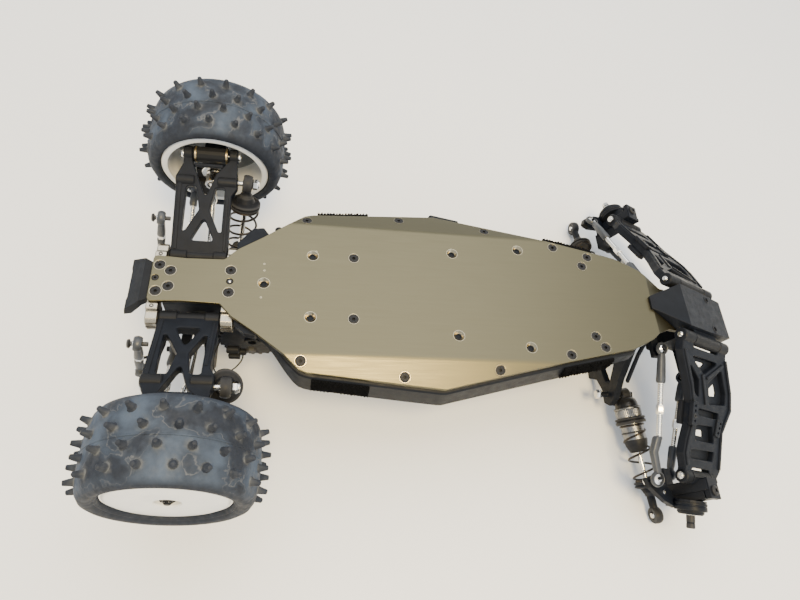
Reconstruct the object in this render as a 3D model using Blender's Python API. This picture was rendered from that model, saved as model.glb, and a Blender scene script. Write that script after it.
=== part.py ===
"""Radio-control off-road buggy chassis, lying on its back as it would on a work bench.

The frame is the bench: +X runs from the tail to the nose, +Z points up out of the
underside of the chassis plate, and the floor is z = 0.  Working coordinates below are in
millimetres from the centre of the front rear-arm block on the plate's underside, and they
are shifted to the floor when each piece is placed.  The car's right side is +Y.
"""
import math

import bmesh
import bpy
from mathutils import Matrix, Vector

# ---- driving dimensions, millimetres -------------------------------------------------
FLOOR_DEPTH = 84.0          # underside of the plate down to the bench
X_SHIFT = -127.15           # puts the origin under the middle of the object
Y_SHIFT = 1.15              # the two front arms stand at different heights
GAP = 0.3                   # clearance left between neighbouring pieces

PLATE_T = 2.5               # chassis plate thickness
TAIL_X = -41.0              # rear edge of the plate
BEND_X = 250.0              # where the nose of the plate kicks up
KICK_LENGTH = 35.0          # length of the kicked nose
KICK = math.radians(25.5)   # kick angle of the nose and of the front hinge pins
WING_Y = 41.0               # the plate's sides fold upward, away from its underside, outside this
WING_FOLD = math.radians(20.0)

REAR_PIN = (-19.2, 19.5, -8.8)      # rear inner hinge pin
REAR_ARM = 60.5                     # rear arm, pin to pin
REAR_DROOP = math.radians(20.1)     # rear arms hang at full droop
WHEEL = (-16.2, 97.2, -3.3)         # centre of the rear wheel
CAMBER = math.radians(4.5)
TYRE_R = 40.0
TYRE_HALF = 20.6
PIN_HEIGHT = 3.4            # height of the tread pins
PIN_SLOTS = 26              # steps round the tyre; pins stand on every other one
RIM_R = 30.8

FRONT_PIN = (267.6, 19.2, -2.7)     # rear end of the front inner hinge pin
FRONT_ARM = 82.0                    # front arm, pin to pin
FRONT_BUMP = {-1: math.radians(22.0), 1: math.radians(26.0)}
LEVER_TURN = math.radians(22.0)     # steering levers lean outward from the car's length
AXLE_DIP = math.radians(15.0)       # front axle stubs dip from a right angle to the kingpins

REAR_SHOCK_TOP = (-5.0, 33.0, -68.0)
REAR_SHOCK_LOW = (4.6, 62.5, 5.6)
FRONT_SHOCK_TOP = (257.0, 36.0, -64.0)
FRONT_SHOCK_LOW = {-1: (269.5, 111.5, -77.5), 1: (253.0, 109.0, -77.5)}

MM = 0.001
SIDES = (("left", -1), ("right", 1))


# ---- materials ------------------------------------------------------------------------
def material(name, colour, metallic, roughness):
    mat = bpy.data.materials.new(name)
    mat.use_nodes = True
    shader = mat.node_tree.nodes["Principled BSDF"]
    shader.inputs["Base Color"].default_value = (*colour, 1.0)
    shader.inputs["Metallic"].default_value = metallic
    shader.inputs["Roughness"].default_value = roughness
    return mat


PALETTE = {
    "anodised": ((0.36, 0.33, 0.25), 1.0, 0.38),
    "champagne": ((0.62, 0.55, 0.40), 1.0, 0.3),
    "composite": ((0.028, 0.03, 0.037), 0.0, 0.5),
    "link_grey": ((0.11, 0.12, 0.14), 0.0, 0.45),
    "steel": ((0.62, 0.62, 0.60), 1.0, 0.28),
    "dark_steel": ((0.05, 0.05, 0.055), 1.0, 0.4),
    "shock_body": ((0.23, 0.22, 0.2), 1.0, 0.42),
    "rim_white": ((0.78, 0.78, 0.75), 0.0, 0.35),
    "rubber": ((0.045, 0.05, 0.062), 0.0, 0.85),
    "case_blue": ((0.03, 0.06, 0.16), 0.0, 0.4),
}


# ---- solids in millimetres ------------------------------------------------------------
def block(x0, x1, y0, y1, z0, z1):
    bm = bmesh.new()
    bmesh.ops.create_cube(bm, size=1.0)
    size = Matrix.Diagonal((x1 - x0, y1 - y0, z1 - z0, 1.0))
    centre = Matrix.Translation(((x0 + x1) / 2, (y0 + y1) / 2, (z0 + z1) / 2))
    bm.transform(centre @ size)
    return bm


def rod(start, end, radius, sides=12, end_radius=None):
    start = Vector(start)
    axis = Vector(end) - start
    bm = bmesh.new()
    bmesh.ops.create_cone(
        bm, cap_ends=True, segments=sides, radius1=radius,
        radius2=radius if end_radius is None else end_radius, depth=axis.length)
    turn = Vector((0, 0, 1)).rotation_difference(axis).to_matrix().to_4x4()
    bm.transform(Matrix.Translation(start + axis / 2) @ turn)
    return bm


def ball(centre, radius, sides=10, rings=6):
    bm = bmesh.new()
    bmesh.ops.create_uvsphere(bm, u_segments=sides, v_segments=rings, radius=radius)
    bm.transform(Matrix.Translation(Vector(centre)))
    return bm


def prism(outline, low, high, axis="z"):
    """Extrude a plane outline between two levels of one axis."""
    order = {"z": (0, 1, 2), "y": (0, 2, 1), "x": (2, 0, 1)}[axis]
    bm = bmesh.new()

    def point(pair, level):
        triple = (pair[0], pair[1], level)
        return [triple[i] for i in order]

    lower = [bm.verts.new(point(pair, low)) for pair in outline]
    upper = [bm.verts.new(point(pair, high)) for pair in outline]
    count = len(outline)
    bm.faces.new(lower)
    bm.faces.new(upper)
    for i in range(count):
        j = (i + 1) % count
        bm.faces.new((lower[i], lower[j], upper[j], upper[i]))
    bmesh.ops.recalc_face_normals(bm, faces=bm.faces)
    return bm


def lathe(profile, sides=32):
    """Turn a closed outline of (radius, height) pairs about the z axis."""
    bm = bmesh.new()
    rings = []
    for radius, height in profile:
        if radius == 0.0:
            rings.append([bm.verts.new((0, 0, height))] * sides)
            continue
        ring = []
        for k in range(sides):
            angle = 2 * math.pi * k / sides
            ring.append(bm.verts.new((radius * math.cos(angle), radius * math.sin(angle), height)))
        rings.append(ring)
    for i, ring in enumerate(rings):
        following = rings[(i + 1) % len(rings)]
        for k in range(sides):
            j = (k + 1) % sides
            corners = []
            for vert in (ring[k], ring[j], following[j], following[k]):
                if vert not in corners:
                    corners.append(vert)
            if len(corners) > 2:
                bm.faces.new(corners)
    bmesh.ops.recalc_face_normals(bm, faces=bm.faces)
    return bm


def tube_along(points, radius, sides=6):
    """A round wire through a run of points, closed at both ends."""
    bm = bmesh.new()
    path = [Vector(p) for p in points]
    rings = []
    normal = None
    for i, here in enumerate(path):
        before = path[max(i - 1, 0)]
        after = path[min(i + 1, len(path) - 1)]
        along = (after - before).normalized()
        if normal is None:
            normal = along.orthogonal().normalized()
        normal = (normal - along * normal.dot(along)).normalized()
        other = along.cross(normal)
        ring = []
        for k in range(sides):
            angle = 2 * math.pi * k / sides
            ring.append(bm.verts.new(here + radius * (normal * math.cos(angle) + other * math.sin(angle))))
        rings.append(ring)
    for first, second in zip(rings, rings[1:]):
        for k in range(sides):
            j = (k + 1) % sides
            bm.faces.new((first[k], first[j], second[j], second[k]))
    bm.faces.new(rings[0])
    bm.faces.new(rings[-1])
    bmesh.ops.recalc_face_normals(bm, faces=bm.faces)
    return bm


def mesh_from(bm, name="solid"):
    mesh = bpy.data.meshes.new(name)
    bm.to_mesh(mesh)
    bm.free()
    return mesh


def solid(base, adds=(), cuts=(), keep=()):
    """Union, then difference, then intersection, returned as one mesh."""
    work = bpy.data.objects.new("work", mesh_from(base))
    bpy.context.scene.collection.objects.link(work)
    tools = []
    for operation, group in (("UNION", adds), ("DIFFERENCE", cuts), ("INTERSECT", keep)):
        for bm in group:
            tool = bpy.data.objects.new("tool", mesh_from(bm))
            bpy.context.scene.collection.objects.link(tool)
            tool.hide_render = True
            tool.display_type = "WIRE"
            step = work.modifiers.new("step", "BOOLEAN")
            step.operation = operation
            step.solver = "EXACT"
            step.object = tool
            tools.append(tool)
    graph = bpy.context.evaluated_depsgraph_get()
    mesh = bpy.data.meshes.new_from_object(work.evaluated_get(graph))
    for ob in (work, *tools):
        bpy.data.objects.remove(ob, do_unlink=True)
    return mesh


# ---- placing --------------------------------------------------------------------------
def bench(point):
    """Working millimetres to metres above the bench."""
    return Vector((point[0] + X_SHIFT, point[1] + Y_SHIFT, point[2] + FLOOR_DEPTH)) * MM


def frame(along, out):
    """Right-handed axes: x along a hinge pin, y outward, z completing the set."""
    ex = Vector(along).normalized()
    ey = Vector(out)
    ey = (ey - ex * ey.dot(ex)).normalized()
    ez = ex.cross(ey)
    return Matrix((ex, ey, ez)).transposed()


PLAIN = Matrix.Identity(3)


def put(name, mesh, mat, origin=(0, 0, 0), axes=PLAIN, side=1):
    """Place a mesh drawn in millimetres; side -1 mirrors it through its own xy plane."""
    scale = Matrix.Diagonal((MM, MM, MM * side, 1.0))
    mesh.transform(scale)
    if side < 0:
        mesh.flip_normals()
    mesh.name = name
    mesh.shade_smooth()
    mesh.set_sharp_from_angle(angle=math.radians(32))
    ob = bpy.data.objects.new(name, mesh)
    bpy.context.scene.collection.objects.link(ob)
    ob.data.materials.clear()
    ob.data.materials.append(MATS[mat])
    ob.location = bench(origin)
    ob.rotation_mode = "XYZ"
    ob.rotation_euler = axes.to_euler("XYZ")
    return ob


# ---- chassis --------------------------------------------------------------------------
PLATE_HALF = (
    (TAIL_X, 12.6), (-39.5, 14.0), (-24.0, 13.2), (-4.0, 13.8), (2.5, 21.0), (15.0, 29.5),
    (31.0, 41.5), (38.5, 48.5), (43.5, 50.2), (60.0, 51.6), (100.0, 55.3), (118.0, 56.8), (159.0, 47.3),
    (180.0, 42.5), (217.0, 34.2), (231.0, 31.0), (239.0, 27.2), (246.0, 23.5), (BEND_X, 20.0),
    (262.0, 14.5), (BEND_X + KICK_LENGTH, 11.5))

OPEN_HOLES = (
    (18.1, 0.0, 1.9), (44.1, 19.5, 1.9), (44.1, -19.5, 1.9), (126.3, 26.9, 1.9),
    (126.3, -26.9, 1.9), (168.0, 32.4, 1.4), (168.0, -32.4, 1.4))


def half_width(x):
    for (x0, y0), (x1, y1) in zip(PLATE_HALF, PLATE_HALF[1:]):
        if x0 <= x <= x1:
            return y0 + (y1 - y0) * (x - x0) / (x1 - x0)
    return PLATE_HALF[-1][1]


def wing_drop(y):
    """Depth of the folded side of the plate at a distance y from the centre line."""
    return max(abs(y) - WING_Y, 0.0) * math.tan(WING_FOLD)


def chassis_plate():
    outline = [(x, -y) for x, y in PLATE_HALF] + [(x, y) for x, y in reversed(PLATE_HALF)]
    holes = [rod((x, y, -6), (x, y, 6), r, 14) for x, y, r in OPEN_HOLES]
    mesh = solid(prism(outline, -PLATE_T, 0.0), cuts=holes)
    bm = bmesh.new()
    bm.from_mesh(mesh)
    for point, normal in (((BEND_X, 0, 0), (1, 0, 0)), ((0, WING_Y, 0), (0, 1, 0)), ((0, -WING_Y, 0), (0, 1, 0))):
        bmesh.ops.bisect_plane(
            bm, geom=bm.verts[:] + bm.edges[:] + bm.faces[:], plane_co=point, plane_no=normal)
    hinge = Matrix.Translation((BEND_X, 0, 0))
    turn = hinge @ Matrix.Rotation(KICK, 4, "Y") @ hinge.inverted()
    for vert in bm.verts:
        vert.co.z -= wing_drop(vert.co.y)
        if vert.co.x > BEND_X + 0.01:
            vert.co = turn @ vert.co
    bm.to_mesh(mesh)
    bm.free()
    put("chassis_plate", mesh, "anodised")


def kicked(a, y, n):
    """A point a along the kicked nose and n out of its underside."""
    return (BEND_X + a * math.cos(KICK) + n * math.sin(KICK),
            y, -a * math.sin(KICK) + n * math.cos(KICK))


def side_guard(side, name):
    """Thin rail under the plate's edge with a wall that leans outward."""
    bm = bmesh.new()
    rings = []
    for x in (16.0, 31.0, 38.5, 43.5, 60.0, 100.0, 118.0, 159.0, 180.0, 217.0, 233.0):
        w = half_width(x)
        low = -PLATE_T - GAP
        flare = 3.4 if 30.0 < x < 225.0 else 2.4
        deep = 13.0 if 40.0 < x < 215.0 else 9.0
        section = ((w - 9, low), (w + 1.6, low), (w + flare, low - deep),
                   (w + flare - 1.9, low - deep), (w - 1.0, low - 2.4), (w - 9, low - 2.4))
        rings.append([bm.verts.new((x, side * y, z - wing_drop(y))) for y, z in section])
    for first, second in zip(rings, rings[1:]):
        for k in range(6):
            j = (k + 1) % 6
            bm.faces.new((first[k], first[j], second[j], second[k]))
    bm.faces.new(rings[0])
    bm.faces.new(rings[-1])
    bmesh.ops.recalc_face_normals(bm, faces=bm.faces)
    fin = prism([(4.5, 21.5 * side), (4.5, 26.5 * side), (16.0, 41.0 * side), (19.0, 41.0 * side),
                 (26.0, 33.0 * side), (20.0, 28.0 * side)], -7.5, -PLATE_T - GAP)
    put(name, solid(bm, adds=[fin]), "composite")


def nose_bulkhead():
    """Two-facet nose over the kicked plate, with the tubes that carry the front hinge pins."""
    cos_k = math.cos(KICK)
    sin_k = math.sin(KICK)
    side_view = [(248.2, 0.35), (248.2, 1.8), (271.4, 1.8), (311.3, -17.2)]
    side_view += [(kicked(a, 0, n)[0], kicked(a, 0, n)[2]) for a, n in ((65, -7), (60, -8), (58, 0.35))]
    side_view += [(BEND_X + 0.1, 0.35)]
    plan = [(247.0, -3.6), (271.4, -14.4), (290.0, -14.2), (313.0, -13.0),
            (313.0, 13.0), (290.0, 14.2), (271.4, 14.4), (247.0, 3.6)]
    body = mesh_from(prism(side_view, -18, 18, axis="y"))
    shell = bmesh.new()
    shell.from_mesh(body)
    centre = bmesh.new()
    centre.from_mesh(solid(shell, keep=[prism(plan, -40, 10)]))
    adds = []
    for s in (-1, 1):
        start = Vector((FRONT_PIN[0], s * FRONT_PIN[1], FRONT_PIN[2]))
        along = Vector((cos_k, 0, -sin_k))
        adds.append(rod(start + along * 8.0, start + along * 34.0, 4.1, 14))
        web = block(9.0, 33.0, -9.0, 0.0, -2.6, 2.6) if s > 0 else block(9.0, 33.0, 0.0, 9.0, -2.6, 2.6)
        web.transform(Matrix.Translation(start) @ Matrix.Rotation(KICK, 4, "Y"))
        adds.append(web)
    holes = []
    for s in (-1, 1):
        low = Vector((296.6, 12.5 * s * 0.8, -12.0))
        out = Vector((sin_k, 0, cos_k))
        holes.append(rod(low - out * 3.0, low + out * 6.0, 1.5, 12))
    put("nose_bulkhead", solid(centre, adds=adds, cuts=holes), "composite")


def front_block():
    """Bulkhead on the inner face of the kicked nose; it carries the camber-link studs."""
    body = block(33.0, 46.0, -12.0, 12.0, -30.0, -PLATE_T - GAP)
    spine = block(42.0, 58.0, -10.0, 10.0, -25.0, -18.0)
    shelf = block(56.2, 61.0, -31.0, 31.0, -25.0, -18.0)
    studs = [rod((50.0, s * 31.0, -21.5), (58.0, s * 31.0, -21.5), 1.4, 8) for s in (-1, 1)]
    ends = [rod((56.2, s * 31.0, -21.5), (61.0, s * 31.0, -21.5), 3.5, 12) for s in (-1, 1)]
    hollow = block(35.5, 42.5, -8.0, 8.0, -31.0, -12.0)
    mesh = solid(body, adds=[spine, shelf, *ends, *studs], cuts=[hollow])
    put("front_block", mesh, "composite", (BEND_X, 0, 0), Matrix.Rotation(KICK, 3, "Y"))


def front_tower():
    half = [(13, -5), (20, -26), (32, -46), (41, -56), (44, -64), (40, -70), (31, -69.5), (22, -74), (17, -84)]
    outline = half + [(-y, z) for y, z in reversed(half)]
    window = [(-11, -14), (11, -14), (13, -30), (8, -58), (-8, -58), (-13, -30)]
    slots = [prism([(s * 16, -44), (s * 30, -58), (s * 27, -63), (s * 15, -66)], 236, 266, "x") for s in (-1, 1)]
    adds = [rod((240.0, s * 36.0, -64.0), (261.0, s * 36.0, -64.0), 1.8, 8) for s in (-1, 1)]
    mesh = solid(prism(outline, 245.0, 249.0, "x"), adds=adds, cuts=[prism(window, 236, 266, "x")] + slots)
    put("front_shock_tower", mesh, "composite")


def rear_tower():
    half = [(13, -46.5), (19, -54), (30, -60), (38, -65), (39, -71), (34, -74.5), (23, -73), (17, -84)]
    outline = half + [(-y, z) for y, z in reversed(half)]
    window = [(-8, -54), (8, -54), (10, -70), (-10, -70)]
    adds = [rod((-19.0, s * 33.0, -68.0), (-0.5, s * 33.0, -68.0), 2.0, 8) for s in (-1, 1)]
    mesh = solid(prism(outline, -17.0, -13.4, "x"), adds=adds, cuts=[prism(window, -30, 0, "x")])
    put("rear_shock_tower", mesh, "composite")


def arm_block(name, x0, x1):
    """Aluminium block across the tail that holds one end of both rear hinge pins."""
    y = REAR_PIN[1]
    z = REAR_PIN[2]
    adds = [rod((x0, s * y, z), (x1, s * y, z), 5.4, 16) for s in (-1, 1)]
    cuts = [block(x0 - 2, x1 + 2, -11, 11, -20, -9.5)]
    cuts += [rod((x0 - 2, s * y, z), (x1 + 2, s * y, z), 1.6, 8) for s in (-1, 1)]
    body = block(x0, x1, -y, y, z - 5.2, -PLATE_T - GAP)
    put(name, solid(body, adds=adds, cuts=cuts), "champagne")


def gearbox():
    """Transaxle case with the two round mouths that the driveshafts enter."""
    outline = [(-34.6, -3.0), (-3.8, -3.0), (-3.8, -15.0), (9.0, -15.0), (16.0, -22.0), (17.0, -36.0),
               (10.0, -46.0), (-14.0, -46.0), (-30.0, -38.0), (-34.6, -30.0)]
    adds = []
    cuts = []
    for s in (-1, 1):
        adds.append(rod((-16.2, s * 8, -22), (-16.2, s * 18.5, -22), 7.4, 18))
        cuts.append(rod((-16.2, s * 13.0, -22), (-16.2, s * 20.0, -22), 5.0, 12))
        adds.append(rod((-24.0, s * 27.0, -33.0), (-34.0, s * 27.0, -33.0), 1.6, 8))
    adds.append(block(-26.5, -21.5, -30.5, 30.5, -36.0, -30.0))
    put("gearbox_case", solid(prism(outline, -11.5, 11.5, "y"), adds=adds, cuts=cuts), "composite")


def rear_bumper():
    """Flap behind the tail with two swept corners."""
    profile = [(-41.9, -3.0), (-45.5, -2.6), (-53.5, -9.0), (-54.5, -14.0), (-51.0, -14.5),
               (-45.0, -8.0), (-41.9, -7.6)]
    plan = [(-41.0, -11.0), (-46.0, -13.5), (-55.5, -16.0), (-53.0, -8.0), (-53.0, 8.0),
            (-55.5, 16.0), (-46.0, 13.5), (-41.0, 11.0)]
    put("rear_bumper", solid(prism(profile, -18, 18, "y"), keep=[prism(plan, -30, 10)]), "composite")


def drive_train():
    """Motor, motor plate, pinion and spur gear ahead of the transaxle."""
    motor = lathe([(0, 0), (14.5, 0), (18.0, 2.5), (18.0, 45.0), (15.0, 48.0), (0, 48.0)], 24)
    slots = [block(-1.6, 1.6, 11.0, 20.0, 8.0, 36.0) for _ in range(6)]
    for k, slot in enumerate(slots):
        slot.transform(Matrix.Rotation(k * math.pi / 3 + 0.5, 4, "Z"))
    axes = frame((1, 0, 0), (0, 0, -1))
    put("motor", solid(motor, cuts=slots), "dark_steel", MOTOR, axes)
    plate = prism([(-6, -17), (3, -15.4), (24, -17), (34, -8), (54, -8), (58, -16), (56, -40),
                   (46, -47), (8, -50), (-6, -44)], -15.2, -12.2, "y")
    hole = rod((MOTOR[0], -20, MOTOR[2]), (MOTOR[0], -5, MOTOR[2]), 7.0, 14)
    spur_hole = rod((SPUR[0], -20, SPUR[2]), (SPUR[0], -5, SPUR[2]), 5.0, 12)
    put("motor_plate", solid(plate, cuts=[hole, spur_hole]), "anodised")
    put("spur_gear", gear(18.5, 26, 4.0, 2.4), "composite", SPUR, axes)
    put("pinion", gear(5.4, 10, 6.0, 1.7), "steel", PINION, axes)


MOTOR = (37.5, -11.6, -27.0)
PINION = (37.5, -21.6, -27.0)
SPUR = (12.2, -20.6, -32.5)


def gear(radius, teeth, width, bore):
    """Spur gear about its own z axis."""
    outline = []
    tooth = 0.8
    for k in range(teeth):
        for part, level in ((0.0, -tooth), (0.3, -tooth), (0.45, tooth), (0.75, tooth)):
            angle = 2 * math.pi * (k + part) / teeth
            outline.append(((radius + level) * math.cos(angle), (radius + level) * math.sin(angle)))
    adds = [rod((0, 0, -1.0), (0, 0, width + 1.5), bore + 2.2, 12)]
    cuts = [rod((0, 0, -3.0), (0, 0, width + 3.0), bore, 8)]
    return solid(prism(outline, 0.0, width), adds=adds, cuts=cuts)


def electronics():
    top = -PLATE_T - GAP
    battery = block(70.0, 164.0, -23.0, 23.0, -27.5, top)
    ridges = [block(72.0 + 15 * k, 74.0 + 15 * k, -24.0, 24.0, -28.5, -26.7) for k in (1, 2, 4, 5)]
    put("battery", solid(battery, cuts=ridges), "case_blue")
    strap = block(104.0, 118.0, -33.0, 33.0, -31.0, -28.2)
    legs = [block(105.0, 117.0, s * 29 - 4, s * 29 + 4, -30.0, top) for s in (-1, 1)]
    put("battery_strap", solid(strap, adds=legs), "composite")
    servo = block(197.0, 231.0, -10.0, 10.0, -58.0, -18.0)
    ears = [block(x, x + 5.0, -9.0, 9.0, -20.0, top) for x in (200.0, 222.0)]
    nose = rod((230.0, 0, HORN[2]), (235.5, 0, HORN[2]), 6.0, 16)
    put("servo", solid(servo, adds=ears + [nose]), "composite")
    speed = block(168.5, 191.0, -19.0, 19.0, -20.0, top)
    fins = [block(171.0, 189.0, -15.0 + 6 * k, -12.0 + 6 * k, -22.0, -15.0) for k in range(6)]
    put("speed_controller", solid(speed, cuts=fins), "dark_steel")


def anti_roll_bar():
    """Wire across the tail whose ends meet the drop links."""
    points = [(-47.5, -33.6, -36.0), (-47.0, -31.0, -37.5), (-39.5, -27.0, -42.5), (-38.0, -20.0, -43.0),
              (-38.0, 20.0, -43.0), (-39.5, 27.0, -42.5), (-47.0, 31.0, -37.5), (-47.5, 33.6, -36.0)]
    put("anti_roll_bar", mesh_from(tube_along(points, 0.9, 8)), "dark_steel")


# ---- steering -------------------------------------------------------------------------
HORN = (248.5, 0.0, -52.0)
RACK = (258.0, 0.0, -20.5)


def steering():
    shaft = rod((-11.8, 0, 0), (2.2, 0, 0), 2.6, 12)
    lever = prism([(-3.6, -3.4), (3.6, -3.4), (2.4, 19.5), (-2.4, 19.5)], -1.6, 1.6, "x")
    pin = rod((0, 0, 17.6), (9.0, 0, 17.6), 1.4, 8)
    put("servo_horn", solid(shaft, adds=[lever, pin]), "composite", HORN)
    bar = block(-2.2, 2.6, -26.4, 26.4, -2.0, 2.0)
    studs = [rod((1.0, s * 23.4, 0), (1.0, s * 23.4, 9.0), 1.25, 8) for s in (-1, 1)]
    lug = block(-2.2, 2.2, -5.4, 5.4, -18.6, 0.0)
    slot = block(-4.0, 4.0, -2.2, 2.2, -20.0, -11.4)
    put("steering_rack", solid(bar, adds=[*studs, lug], cuts=[slot]), "composite", RACK)


def between(name, start, end, middle, cup, mat, stud=(1, 0, 0), bores=(2.6, 2.6), half=2.0):
    """Turnbuckle link: two ball cups on a rod, drawn along its own y axis."""
    start = Vector(start)
    end = Vector(end)
    span = (end - start).length
    adds = []
    cuts = []
    for y, way, bore in ((0.0, 1, bores[0]), (span, -1, bores[1])):
        adds.append(rod((0, y + way * 2.0, 0), (0, y + way * cup, 0), 2.6, 7))
        adds.append(rod((-half, y, 0), (half, y, 0), bore + 1.4, 10))
        cuts.append(rod((-6, y, 0), (6, y, 0), bore, 10))
    mesh = solid(rod((0, 4, 0), (0, span - 4, 0), middle, 6), adds=adds, cuts=cuts)
    out = (end - start).normalized()
    ex = Vector(stud)
    ex = (ex - out * ex.dot(out)).normalized()
    axes = Matrix((ex, out, ex.cross(out))).transposed()
    put(name, mesh, mat, start, axes)


# ---- shocks ---------------------------------------------------------------------------
def shock(prefix, side, top, low, body_len, shaft_top, seat, coils):
    """Oil-filled coil-over: body, shaft with its lower seat, and the spring, on one axis."""
    top = Vector((top[0], side * top[1], top[2]))
    low = Vector((low[0], side * low[1], low[2]))
    along = low - top
    length = along.length
    ez = along.normalized()
    ex = Vector((1, 0, 0))
    ex = (ex - ez * ex.dot(ez)).normalized()
    axes = Matrix((ex, ez.cross(ex), ez)).transposed()
    profile = [(0, 2.5), (4.6, 2.5), (7.2, 6.5), (7.2, 9.5), (6.4, 10.2), (6.4, 15.0), (8.4, 15.3),
               (8.4, 19.6), (6.4, 20.0), (6.4, body_len - 7.0), (5.2, body_len), (2.2, body_len),
               (2.2, 6.8), (0, 6.8)]
    bore = rod((-8, 0, 0), (8, 0, 0), 3.1, 10)
    body = solid(lathe(profile, 14), adds=[rod((-3.0, 0, 0), (3.0, 0, 0), 5.0, 12)], cuts=[bore])
    put(prefix + "_body", body, "shock_body", top, axes)
    rings = [(0, shaft_top), (1.5, shaft_top), (1.5, seat), (8.7, seat + 0.2), (8.7, seat + 3.6),
             (6.0, seat + 4.6), (4.0, seat + 8.5), (3.0, length - 3.0), (0, length - 3.0)]
    eye = rod((-2.4, 0, length), (2.4, 0, length), 5.0, 14)
    hole = rod((-8, 0, length), (8, 0, length), 2.0, 8)
    put(prefix + "_shaft", solid(lathe(rings, 14), adds=[eye], cuts=[hole]), "dark_steel", top, axes)
    first = 19.8 + GAP + 0.9
    last = seat - GAP - 0.9
    steps = int(coils * 8)
    path = []
    for k in range(steps + 1):
        part = k / steps
        angle = 2 * math.pi * coils * part
        rise = min(max((part * coils - 0.75) / (coils - 1.5), 0.0), 1.0)
        depth = first + (last - first) * rise
        path.append((8.0 * math.cos(angle), 8.0 * math.sin(angle), depth))
    put(prefix + "_spring", mesh_from(tube_along(path, 0.75, 4)), "dark_steel", top, axes)


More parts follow.
